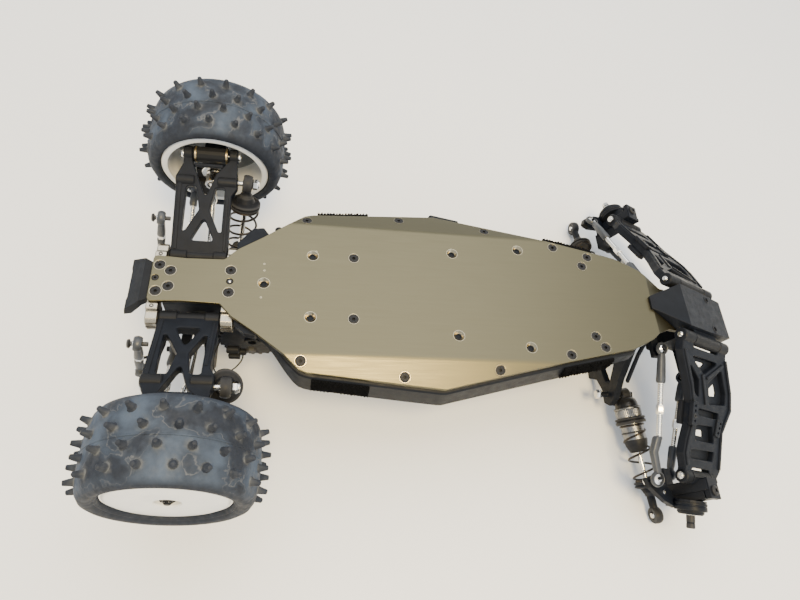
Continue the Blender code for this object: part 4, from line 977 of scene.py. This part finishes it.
def shock(prefix, side, top, low, body_len, shaft_top, seat_at, coils, bodies, fat=1.0):
    top = Vector((top[0], side * top[1], top[2]))
    low = Vector((low[0], side * low[1], low[2]))
    length = (low - top).length
    ez = (low - top).normalized()
    ex = Vector((1, 0, 0))
    ex = (ex - ez * ex.dot(ez)).normalized()
    at = place(top, Matrix((ex, ez.cross(ex), ez)).transposed())
    upper, lower = bodies
    slim = 1.0 if fat == 1.0 else 0.93
    cap = join(lathe([(3.2, 1.6), (5.0, 2.2), (6.6, 4.0), (7.3, 6.0), (7.45, 8.1), (7.5 * fat, 8.7),
                      (7.5 * fat, 9.0), (2.4, 9.0), (2.2, 6.9), (3.2, 1.6)], 40),
               rod((-3.0, 0, 0), (3.0, 0, 0), 4.6, 0.6, 30))
    piece(prefix + "_cap", cap, "dark", upper, at, (prefix + "_body",))
    knurl = bmesh.new()
    rings = []
    for radius, z in ((6.4, 9.9), (7.15, 10.2), (7.25, 12.6), (7.15, 15.0), (6.4, 15.2)):
        rings.append([knurl.verts.new(((radius * fat + (0.16 if k % 2 else -0.05)) * math.cos(PI2 * k / 96),
                                       (radius * fat + (0.16 if k % 2 else -0.05))
                                       * math.sin(PI2 * k / 96), z)) for k in range(96)])
    for first, second in zip(rings, rings[1:]):
        for k in range(96):
            knurl.faces.new((first[k], first[(k + 1) % 96], second[(k + 1) % 96], second[k]))
    knurl.faces.new(rings[0])
    knurl.faces.new(rings[-1])
    bmesh.ops.recalc_face_normals(knurl, faces=knurl.faces)
    tube = join(fattened(lathe([(6.2, 9.0), (7.5, 9.05), (7.6, 9.4), (7.5, 9.85), (6.2, 9.9), (6.2, 9.0)],
                               48), fat), knurl,
                fattened(lathe([(2.3, 14.8), (6.3, 14.8), (6.3, 24.6), (6.0, 24.8), (6.0, 25.6),
                                (6.3, 25.8), (6.3, body_len - 8.0),
                       (2.3, body_len - 8.0), (2.3, 14.8)], 48), fat))
    piece(prefix + "_tube", tube, "shock", upper, at)
    collar = join(lathe([(6.35, 15.4), (8.1, 15.4), (8.5, 15.9), (8.5, 16.7), (7.9, 17.0), (7.9, 17.5),
                         (8.5, 17.8), (8.5, 19.0),
                         (8.2, 19.6), (6.35, 19.6), (6.35, 15.4)], 48),
                  lathe([(6.3, 24.7), (6.75, 24.75), (6.75, 25.6), (6.3, 25.7), (6.3, 24.7)], 48),
                  lathe([(2.3, body_len - 8.2), (6.5, body_len - 8.2), (6.6, body_len - 7.6),
                         (6.1, body_len - 4.5), (4.6, body_len - 0.4),
                         (4.2, body_len), (2.3, body_len), (2.3, body_len - 8.2)], 48))
    piece(prefix + "_collar", fattened(collar, fat), "screw", upper, at)
    first, last = 20.7, seat_at - 0.9
    steps = int(coils * 22)
    path = []
    for k in range(steps + 1):
        part = k / steps
        angle = PI2 * coils * part
        rise = min(max((part * coils - 0.75) / (coils - 1.5), 0.0), 1.0)
        path.append((8.0 * slim * math.cos(angle), 8.0 * slim * math.sin(angle),
                     first + (last - first) * rise))
    spring = piece(prefix + "_coil", wire(path, 0.68, 8), "spring", upper, at, (prefix + "_spring",))
    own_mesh(spring)
    piece(prefix + "_rod", rod((0, 0, shaft_top + 3.4), (0, 0, seat_at + 3.0), 1.5, 0.2), "shaft", lower, at)
    seat_bm = join(fattened(lathe([(1.55, seat_at), (8.3, seat_at), (8.8, seat_at + 0.4),
                                   (8.8, seat_at + 1.2), (8.0, seat_at + 1.5), (8.0, seat_at + 2.0),
                          (8.8, seat_at + 2.3), (8.8, seat_at + 3.1), (7.4, seat_at + 3.7),
                          (5.4, seat_at + 4.2), (4.4, seat_at + 6.2),
                          (3.9, seat_at + 7.4), (1.55, seat_at + 7.4), (1.55, seat_at)], 48), slim),
                   lathe([(0, seat_at + 7.0), (3.4, seat_at + 7.0), (3.3, seat_at + 8.6),
                          (2.6, seat_at + 9.4), (2.5, length - 5.5),
                          (2.9, length - 2.4), (0, length - 2.4)], 28),
                   turned((-2.6, 0, length), (2.6, 0, length),
                          [(2.5, 0.2), (4.5, 0), (5.1, 0.8), (5.3, 2.6), (5.1, 4.4), (4.5, 5.2),
                           (2.5, 5.0), (2.5, 0.2)], 32))
    bmesh.ops.remove_doubles(seat_bm, verts=seat_bm.verts, dist=1e-4)
    piece(prefix + "_seat", seat_bm, "screw", lower, at, (prefix + "_shaft",))
    eye = join(turned((-2.9, 0, length), (2.9, 0, length),
                      [(0, 0), (1.6, 0), (2.3, 1.3), (2.45, 2.9), (2.3, 4.5), (1.6, 5.8), (0, 5.8)], 24),
               socket_head((2.6, 0, length), (1, 0, 0), 1.9, 0.9, 0.5, deep=0.7))
    piece(prefix + "_eye", eye, "shaft", lower, at)


# ---- front suspension -------------------------------------------------------------------
FRONT_PIN = (267.6, 19.2, -2.7)
FRONT_ARM = 82.0
FRONT_BUMP = {-1: math.radians(22.0), 1: math.radians(26.0)}
LEVER_TURN = math.radians(22.0)
AXLE_DIP = math.radians(15.0)
ALONG = Vector((math.cos(KICK), 0, -math.sin(KICK)))
NORMAL = Vector((math.sin(KICK), 0, math.cos(KICK)))


def front_corner(label, side):
    bump = FRONT_BUMP[side]
    level = Vector((0, side, 0))
    out = level * math.cos(bump) - NORMAL * math.sin(bump)
    pin = Vector((FRONT_PIN[0], side * FRONT_PIN[1], FRONT_PIN[2]))
    at = place(pin, frame_axes(ALONG, out), side)
    body = "front_arm_" + label
    outline = [(-3.4, -2.4), (-3.2, 9.0), (8.0, 29.0), (12.0, 39.0), (12.5, 51.0), (10.0, 61.0),
               (9.0, 69.0), (12.6, 77.0), (12.6, 85.5), (19.2, 85.5), (19.2, 76.5), (38.0, 76.5),
               (38.0, 85.5), (44.0, 85.5), (50.0, 76.0), (48.5, 53.0), (56.0, 38.0), (54.0, 26.0),
               (44.0, 6.0), (44.0, -2.4), (34.4, -2.4), (34.4, 5.4), (7.6, 5.4), (7.6, -2.4)]
    windows = [[(6.0, 10.5), (36.5, 10.5), (22.0, 20.0)],
               [(4.5, 14.5), (17.5, 24.0), (19.0, 35.0), (14.0, 32.0)],
               [(40.5, 14.0), (48.0, 28.0), (48.5, 35.0), (30.0, 37.0), (27.0, 25.0)],
               [(20.0, 41.0), (42.0, 41.0), (42.0, 45.0), (20.0, 45.0)],
               [(19.0, 51.0), (37.0, 50.0), (40.0, 60.0), (19.0, 60.0)],
               [(16.0, 66.0), (41.0, 65.0), (40.0, 71.0), (16.0, 71.0)]]
    ribs = [[(-2.4, 8.6), (8.6, 28.4), (12.6, 38.6), (14.6, 38.0), (10.6, 27.4), (0.0, 8.0)],
            [(13.4, 51.2), (11.0, 61.2), (10.0, 68.6), (13.0, 75.8), (15.0, 75.0), (12.4, 68.4),
             (13.2, 61.4), (15.6, 51.4)],
            [(44.2, 7.0), (53.0, 26.4), (55.0, 37.8), (47.6, 52.8), (49.0, 75.4), (47.0, 75.4),
             (45.4, 52.4), (52.6, 37.4),
             (50.8, 27.0), (42.2, 8.0)],
            [(18.6, 20.5), (20.6, 19.6), (27.4, 37.4), (25.4, 38.2)],
            [(40.0, 10.2), (42.0, 11.4), (25.2, 22.8), (23.8, 21.2)]]
    bm = join(sheet([rounded(outline, 2.0, 6)] + [rounded(w, 1.5, 6) for w in windows], -3.0, 2.4, 0.6),
              rod((-3.4, 0, 0), (7.6, 0, 0), 4.2, 0.5, 28), rod((34.4, 0, 0), (44.0, 0, 0), 4.2, 0.5, 28),
              rod((12.6, FRONT_ARM, 0), (19.2, FRONT_ARM, 0), 4.3, 0.6, 28),
              rod((38.0, FRONT_ARM, 0), (44.0, FRONT_ARM, 0), 4.3, 0.6, 28))
    for loop in ribs:
        bm = join(bm, sheet([rounded(loop, 0.7, 3)], 2.0, 3.3, 0.4))
    for number, loop in enumerate(windows):
        cx = sum(x for x, y in loop) / len(loop)
        cy = sum(y for x, y in loop) / len(loop)
        floor = [(cx + 1.07 * (x - cx), cy + 1.07 * (y - cy)) for x, y in loop]
        hole = [(cx + 0.38 * (x - cx), cy + 0.38 * (y - cy)) for x, y in loop]
        cuts = [rounded(hole, 0.8, 4)] if number in (0, 2, 4) else []
        bm = join(bm, sheet([rounded(floor, 1.5, 4)] + cuts, -2.2, -1.0, 0.3))
    row = [circle(13.0 + 0.2 * k, 40.2 + 3.0 * k, 0.8, 12) for k in range(4)]
    pad = [(10.2, 37.6), (15.2, 37.6), (15.8, 52.2), (10.6, 52.2)]
    bm = join(bm, sheet([rounded(pad, 1.2, 4)] + row, 2.2, 4.6, 0.3),
              sheet([rounded(pad, 1.2, 4)], -5.8, -2.8, 0.4))
    far_row = [circle(43.4 - 0.9 * k, 47.0 + 3.0 * k, 0.8, 12) for k in range(3)]
    bm = join(bm, sheet([rounded([(39.6, 44.6), (45.4, 45.2), (43.6, 56.2), (38.2, 55.0)], 1.0, 4)]
                        + far_row, 2.2, 3.6, 0.3))
    crisp(piece("front_arm_%s_moulding" % label, bm, "black", body, at, ("front_arm_" + label,), 22))
    pins = join(rod((11.4, FRONT_ARM, 0), (45.0, FRONT_ARM, 0), 1.55, 0.2),
                socket_head((44.2, FRONT_ARM, 0), (1, 0, 0), 2.6, 1.7, 0.42, 0.4),
                turned((11.6, FRONT_ARM, 0), (12.5, FRONT_ARM, 0),
                       [(0, 0), (2.2, 0.1), (2.4, 0.9), (0, 0.9)], 20),
                turned((-3.9, 0, 0), (-3.3, 0, 0), [(0, 0), (1.5, 0.1), (1.7, 0.3), (1.7, 0.6), (0, 0.6)],
                       24))
    piece("front_pins_" + label, pins, "shaft", body, at)
    screw = socket_head((13.1, 46.2, 4.4), (0, 0, 1), 1.5, 0.5, 0.5, deep=0.4)
    piece("front_mount_screw_" + label, screw, "screw", body, at)

    # caster block, knuckle and their screws
    mid = pin + out * FRONT_ARM + ALONG * 28.6
    carried("front_caster_block_" + label, "black", 0.5)
    carried("front_knuckle_" + label, "black", 0.5)
    block_at = place(mid, frame_axes(ALONG, level), side)
    king = []
    for z, way in ((8.6, 1), (-21.5, -1)):
        king.append(socket_head((0.4, 9.0, z - 0.1 * way), (0, 0, way), 3.0, 1.5, 0.42, 0.3))
    king.append(hexnut((0.4, 9.0, -23.4), (0.4, 9.0, -21.4), 5.0, 0.0))
    piece("king_screws_" + label, join(*king), "screw", "caster_" + label, block_at)
    guard = join(brick(6.6, 8.2, 2.2, 9.4, -19.0, 6.0, 0.5), brick(-5.4, -4.2, 2.2, 8.6, -20.8, 8.0, 0.4))
    piece("caster_cheeks_" + label, guard, "black", "caster_" + label, block_at)
    king_at = mid + level * 9.0 - NORMAL * 6.5
    lever_out = level * math.cos(LEVER_TURN) - ALONG * math.sin(LEVER_TURN)
    lever_along = ALONG * math.cos(LEVER_TURN) + level * math.sin(LEVER_TURN)
    lever_at = place(king_at, frame_axes(lever_along, lever_out), side)
    spin = level * math.cos(AXLE_DIP) - NORMAL * math.sin(AXLE_DIP)
    knuckle_at = place(king_at, frame_axes(ALONG, spin), side)
    housing = join(turned((0, 8.6, 0), (0, 11.4, 0),
                          [(5.4, 0), (7.6, 0), (7.6, 1.6), (7.0, 2.4), (6.6, 2.8), (5.4, 2.8), (5.4, 0)], 40),
                   turned((0, 4.2, 0), (0, 9.2, 0),
                          [(8.6, 0), (9.3, 0.4), (9.3, 1.4), (9.0, 1.7), (9.0, 2.2), (9.3, 2.5), (9.3, 4.4),
                                                    (8.9, 4.9), (8.0, 5.0), (8.6, 0)], 40))
    piece("knuckle_rings_" + label, housing, "black", "knuckle_" + label, knuckle_at)
    seal = turned((0, 10.2, 0), (0, 11.6, 0),
                  [(2.5, 0), (5.3, 0), (5.3, 1.0), (4.9, 1.3), (3.6, 1.2), (3.4, 1.4), (2.5, 1.4),
                   (2.5, 0)], 40)
    piece("knuckle_bearing_" + label, seal, "steel", "knuckle_" + label, knuckle_at)
    stub = turned((0, 9.0, 0), (0, 19.3, 0),
                  [(0, 0), (2.5, 0), (2.5, 6.6), (2.1, 6.9), (2.1, 7.4), (2.5, 7.6), (2.5, 9.8), (2.1, 10.3),
                                             (0.7, 10.3), (0.6, 9.6), (0, 9.5)], 30)
    piece("axle_stub_" + label, stub, "screw" if side < 0 else "shaft", "knuckle_" + label, knuckle_at)
    arm_screws = join(socket_head((-27.0, 2.5, -11.1), (0, 0, -1), 2.1, 1.0, 0.45, deep=0.8),
                      socket_head((-13.5, 3.4, -8.3), (0, 0, 1), 1.3, 0.7, 0.45, deep=0.5))
    piece("knuckle_screws_" + label, arm_screws, "steel", "knuckle_" + label, lever_at)

    # links and the loose shock
    camber_out = mid + ALONG * 6.6 - level * 6.4 - NORMAL * 20.6
    link("front_camber_link_" + label, "front_camber_" + label, kicked(52.6, side * 31.0, -21.5),
         camber_out, ALONG,
         (16.0, 18.0))
    tie_out = king_at - lever_along * 27.0 + lever_out * 2.5 - NORMAL * 3.6 + ALONG * 0.9
    link("tie_rod_" + label, "tie_rod_" + label, (259.0, side * 23.4, -14.3), tie_out,
         NORMAL + Vector((0, 0, 1)),
         (21.0, 25.0), (3.9, 4.6), 1.5, 4.2, 1.4 * side, "grey", (3.0, 3.8))
    low = {-1: (269.5, 111.5, -77.5), 1: (253.0, 109.0, -77.5)}[side]
    reach = (Vector(low) - Vector((257.0, 36.0, -64.0))).length
    shock("front_shock_" + label, side, (257.0, 36.0, -64.0), low, 38.0,
          reach - 46.0, reach - 21.0, 4.5, ("front_shock_" + label, "front_shaft_" + label), 1.14)


def rear_corner(label, side):
    rear_arm(label, side)
    rear_hub(label, side)
    rear_wheel(label, side)
    half_shaft(label, side)
    link("rear_camber_link_" + label, "rear_camber_" + label, (-30.0, side * 27.0, -33.0),
         (-30.0, side * 76.5, -20.0),
         (1, 0, 0), (12.0, 12.0))
    link("drop_link_" + label, "drop_link_" + label, (-41.0, side * 38.6, -0.4), (-47.0, side * 38.6, -36.0),
         (1, 0, 0), (16.5, 16.5))
    shock("rear_shock_" + label, side, (-5.0, 33.0, -68.0),
          (4.6, 62.5, 5.6), 36.0,
          31.0, 64.5, 6.0, ("rear_shock_" + label, "rear_shaft_" + label))
    stud = join(rod((-44.6, side * 38.6, -0.4), (-36.0, side * 38.6, -0.4), 1.2, 0.2),
                turned((-46.2, side * 38.6, -0.4), (-44.4, side * 38.6, -0.4),
                       [(0, 0), (2.2, 0.3), (2.4, 1.2), (1.2, 1.8), (0, 1.8)], 20))
    piece("drop_stud_" + label, stud, "dark", "rear_arm_" + label, place())


# ---- towers, drive train and electronics ------------------------------------------------------
def towers():
    carried("front_shock_tower", "black", 0.5)
    carried("rear_shock_tower", "black", 0.5)
    carried("front_block", "black", 0.4)
    carried("gearbox_case", "black", 0.5)
    carried("rear_bumper", "black", 0.5)
    carried("anti_roll_bar", "dark", 0.05)
    parts = []
    ribs = []
    for s in (-1, 1):
        parts.append(hexnut((236.8, s * 36.0, -64.0), (240.4, s * 36.0, -64.0), 5.4))
        parts.append(turned((260.2, s * 36.0, -64.0), (263.0, s * 36.0, -64.0),
                            [(0, 0), (2.7, 0), (2.8, 1.9), (2.2, 2.7), (0, 2.8)], 24))
        parts.append(hexnut((-21.6, s * 33.0, -68.0), (-18.4, s * 33.0, -68.0), 5.4))
        parts.append(turned((-1.6, s * 33.0, -68.0), (1.2, s * 33.0, -68.0),
                            [(0, 0), (2.7, 0), (2.8, 1.9), (2.2, 2.7), (0, 2.8)], 24))
        parts.append(socket_head((245.2, s * 14.0, -12.0), (-1, 0, 0), 2.4, 1.4))
        parts.append(socket_head((-16.8, s * 15.0, -50.0), (-1, 0, 0), 2.4, 1.4))
        parts.append(socket_head((-34.4, s * 8.0, -10.0), (-1, 0, 0), 1.6, 0.6, deep=0.4))
        low = [(15, -8), (22, -26), (33, -45), (35.5, -43.6), (24.4, -25), (17.4, -7.4)]
        ribs.append(sheet([rounded([(s * y, z) for y, z in low], 0.8, 3)], 248.6, 250.2, 0.4, "x"))
        high = [(15, -49), (20, -56), (31, -62), (32, -60), (21.4, -54), (17, -48)]
        ribs.append(sheet([rounded([(s * y, z) for y, z in high], 0.6, 3)], -13.8, -12.4, 0.4, "x"))
    piece("tower_fasteners", join(*parts), "steel", "chassis", place())
    piece("tower_ribs", join(*ribs), "black", "chassis", place())
    studs = []
    for s in (-1, 1):
        studs.append(turned(kicked(56.5, s * 31.0, -21.5), kicked(55.1, s * 31.0, -21.5),
                            [(0, 0), (2.4, 0), (2.4, 1.0), (1.4, 1.4), (0, 1.4)], 20))
        studs.append(turned((-25.4, s * 27.0, -33.0), (-27.4, s * 27.0, -33.0),
                            [(0, 0), (2.4, 0), (2.4, 1.6), (1.4, 2.0), (0, 2.0)], 20))
        studs.append(socket_head((0, s * 7.0, -46.0), (0, 0, -1), 2.0, 1.0, deep=0.7))
    piece("ball_studs", join(*studs), "steel", "chassis", place())


def drive_train():
    carried("motor", "dark", 0.4)
    carried("motor_plate", "plate", 0.4)
    carried("spur_gear", "black", 0.15)
    carried("pinion", "steel", 0.1)
    parts = []
    for k in range(3):
        turn = PI2 * k / 3 + 0.4
        parts.append(socket_head((37.5 + 12 * math.cos(turn), -15.2, -27.0 + 12 * math.sin(turn)),
                                 (0, -1, 0), 2.0, 1.0, deep=0.8))
    parts.append(hexnut((12.2, -27.4, -32.5), (12.2, -24.8, -32.5), 5.0, 0.0))
    piece("motor_screws", join(*parts), "screw", "chassis", place())
    band = turned((37.5, 2.0, -27.0), (37.5, 22.0, -27.0),
                  [(17.9, 0), (18.25, 0.2), (18.25, 19.8), (17.9, 20.0), (17.9, 0)], 60)
    piece("motor_band", band, "steel", "chassis", place())
    wires = []
    for k, (x, z) in enumerate(((30.0, -16.0), (37.5, -13.0), (45.0, -16.0))):
        wires.append(wire(smooth_path([(x, 36.2, z - 8.0), (x + 1, 42.0, z - 8.0), (x + 9, 44.0, -12.0),
                                       (66.0, 34.0 + 2.6 * k, -8.0),
                                       (120.0, 36.0 + 2.4 * k, -8.0), (160.0, 30.0 - 2.0 * k, -9.0),
                                       (169.5, 10.0 - 6 * k, -9.0)], 8), 1.1, 10))
    piece("motor_wires", join(*wires), "grey", "chassis", place())
    clamp = join(rod((-1.0, -28.6, -27.0), (6.0, -28.6, -27.0), 2.2, 0.5),
                 rod((5.0, -28.2, -30.6), (9.6, -28.2, -30.6), 1.9, 0.4),
                 brick(0.0, 6.4, -32.0, -26.0, -33.0, -29.0, 0.6))
    piece("sensor_clamp", clamp, "black", "chassis", place())
    thin = wire(smooth_path([(8.0, -28.2, -30.6), (7.0, -34.0, -31.0), (1.0, -40.0, -32.0),
                             (-6.0, -40.0, -34.0), (-9.0, -30.0, -37.0),
                             (-6.0, -12.0, -44.0)], 8), 0.42, 8)
    piece("sensor_wire", thin, "screw", "chassis", place())
    coils = []
    for k in range(6):
        turn = k * math.pi / 3 + 0.5
        coils.append(rod((37.5 - 12.6 * math.cos(turn), 0.0, -27.0 - 12.6 * math.sin(turn)),
                         (37.5 - 12.6 * math.cos(turn), 30.0, -27.0 - 12.6 * math.sin(turn)), 1.6, 0.4, 12))
    piece("motor_windings", join(*coils), "copper", "chassis", place())


def electronics():
    carried("battery", "case", 0.8)
    carried("battery_strap", "black", 0.6)
    carried("servo", "black", 0.5)
    carried("speed_controller", "dark", 0.4)
    carried("servo_horn", "grey", 0.3)
    carried("steering_rack", "black", 0.3)
    screws = []
    for x in (202.5, 224.5):
        for s in (-1, 1):
            screws.append(socket_head((x, s * 6.0, -20.1), (0, 0, -1), 2.2, 1.2))
    for s in (-1, 1):
        screws.append(socket_head((111.0, s * 29.0, -31.0), (0, 0, -1), 3.0, 1.4))
        for x in (199.0, 229.0):
            screws.append(socket_head((x, s * 8.0, -58.0), (0, 0, -1), 1.0, 0.4, deep=0.3))
    piece("deck_screws", join(*screws), "screw", "chassis", place())
    horn = socket_head((250.6, 0, -52.0), (1, 0, 0), 2.2, 1.2)
    piece("horn_screw", horn, "steel", "horn", place())
    leads = []
    for k, y in enumerate((-9.0, 9.0)):
        leads.append(wire(smooth_path([(164.0, y, -14.0), (167.0, y * 1.2, -22.0), (171.0, y * 1.3, -24.0),
                                       (174.0, y, -19.6)], 8), 1.5, 10))
    leads.append(wire(smooth_path([(197.4, 3.0, -40.0), (193.6, 6.0, -38.0), (190.0, 9.0, -30.0),
                                   (187.0, 10.0, -20.0)], 8), 1.0, 10))
    piece("deck_leads", join(*leads), "dark", "chassis", place())
    bars = []
    for x in (76.0, 90.0, 126.0, 140.0, 156.0):
        bars.append(brick(x, x + 5.0, -22.0, 22.0, -27.9, -27.2, 0.3))
    piece("battery_ribs", join(*bars), "case", "chassis", place())


# ---- floor, lights and camera ---------------------------------------------------------------
def stage():
    world = bpy.data.worlds.new("studio")
    bpy.context.scene.world = world
    world.use_nodes = True
    background = world.node_tree.nodes["Background"]
    background.inputs["Color"].default_value = (0.90, 0.95, 1.0, 1)
    background.inputs["Strength"].default_value = 1.25
    bm = bmesh.new()
    bmesh.ops.create_grid(bm, x_segments=1, y_segments=1, size=3.0)
    mesh = bpy.data.meshes.new("floor")
    bm.to_mesh(mesh)
    bm.free()
    floor = bpy.data.objects.new("floor", mesh)
    bpy.context.scene.collection.objects.link(floor)
    floor.data.materials.append(node_material("floor_paint", (0.90, 0.90, 0.89), 0.0, (0.5, 0.65), 0.012,
                                              6.0, bump=0.02,
                                              bump_scale=300.0))
    for name, place_at, aim, size, power, colour in (
            ("key", (0.02, 0.62, 1.5), (0, 0, 0.05), 1.5, 19.0, (1.0, 0.985, 0.96)),
            ("warm", (0.04, -0.46, 1.30), (-0.06, -0.05, 0.08), 0.36, 26.0, (1.0, 0.76, 0.36)),
            ("fill", (0.9, -0.9, 0.9), (0, 0, 0.05), 1.0, 4.0, (0.93, 0.96, 1.0))):
        data = bpy.data.lights.new(name, "AREA")
        data.size = size
        data.energy = power
        data.color = colour
        lamp = bpy.data.objects.new(name, data)
        lamp.location = place_at
        lamp.rotation_euler = (Vector(aim) - Vector(place_at)).to_track_quat("-Z", "Y").to_euler()
        bpy.context.scene.collection.objects.link(lamp)


def camera():
    azimuth, elevation, roll = math.radians(-19.17), math.radians(60.22), math.radians(19.67)
    back = Vector((math.sin(azimuth) * math.cos(elevation), -math.cos(azimuth) * math.cos(elevation),
                   math.sin(elevation)))
    right = (-back).cross(Vector((0, 0, 1))).normalized()
    up = right.cross(-back)
    right, up = right * math.cos(roll) + up * math.sin(roll), up * math.cos(roll) - right * math.sin(roll)
    data = bpy.data.cameras.new("camera")
    data.sensor_width = 36.0
    data.lens = 26.946
    data.clip_start = 0.01
    ob = bpy.data.objects.new("camera", data)
    ob.matrix_world = Matrix.Translation(bench((38.6, -164.5,
                                                292.7))) @ Matrix((right, up, back)).transposed().to_4x4()
    bpy.context.scene.collection.objects.link(ob)
    bpy.context.scene.camera = ob


# ---- assembly ---------------------------------------------------------------------------------
chassis_plate()
side_guard(-1, "side_guard_left")
side_guard(1, "side_guard_right")
arm_block("rear_arm_block", -41.2, -35.2)
arm_block("centre_arm_block", -3.2, 3.2)
nose()
towers()
drive_train()
electronics()
for text, sign in SIDES:
    rear_corner(text, sign)
    front_corner(text, sign)
stage()
camera()
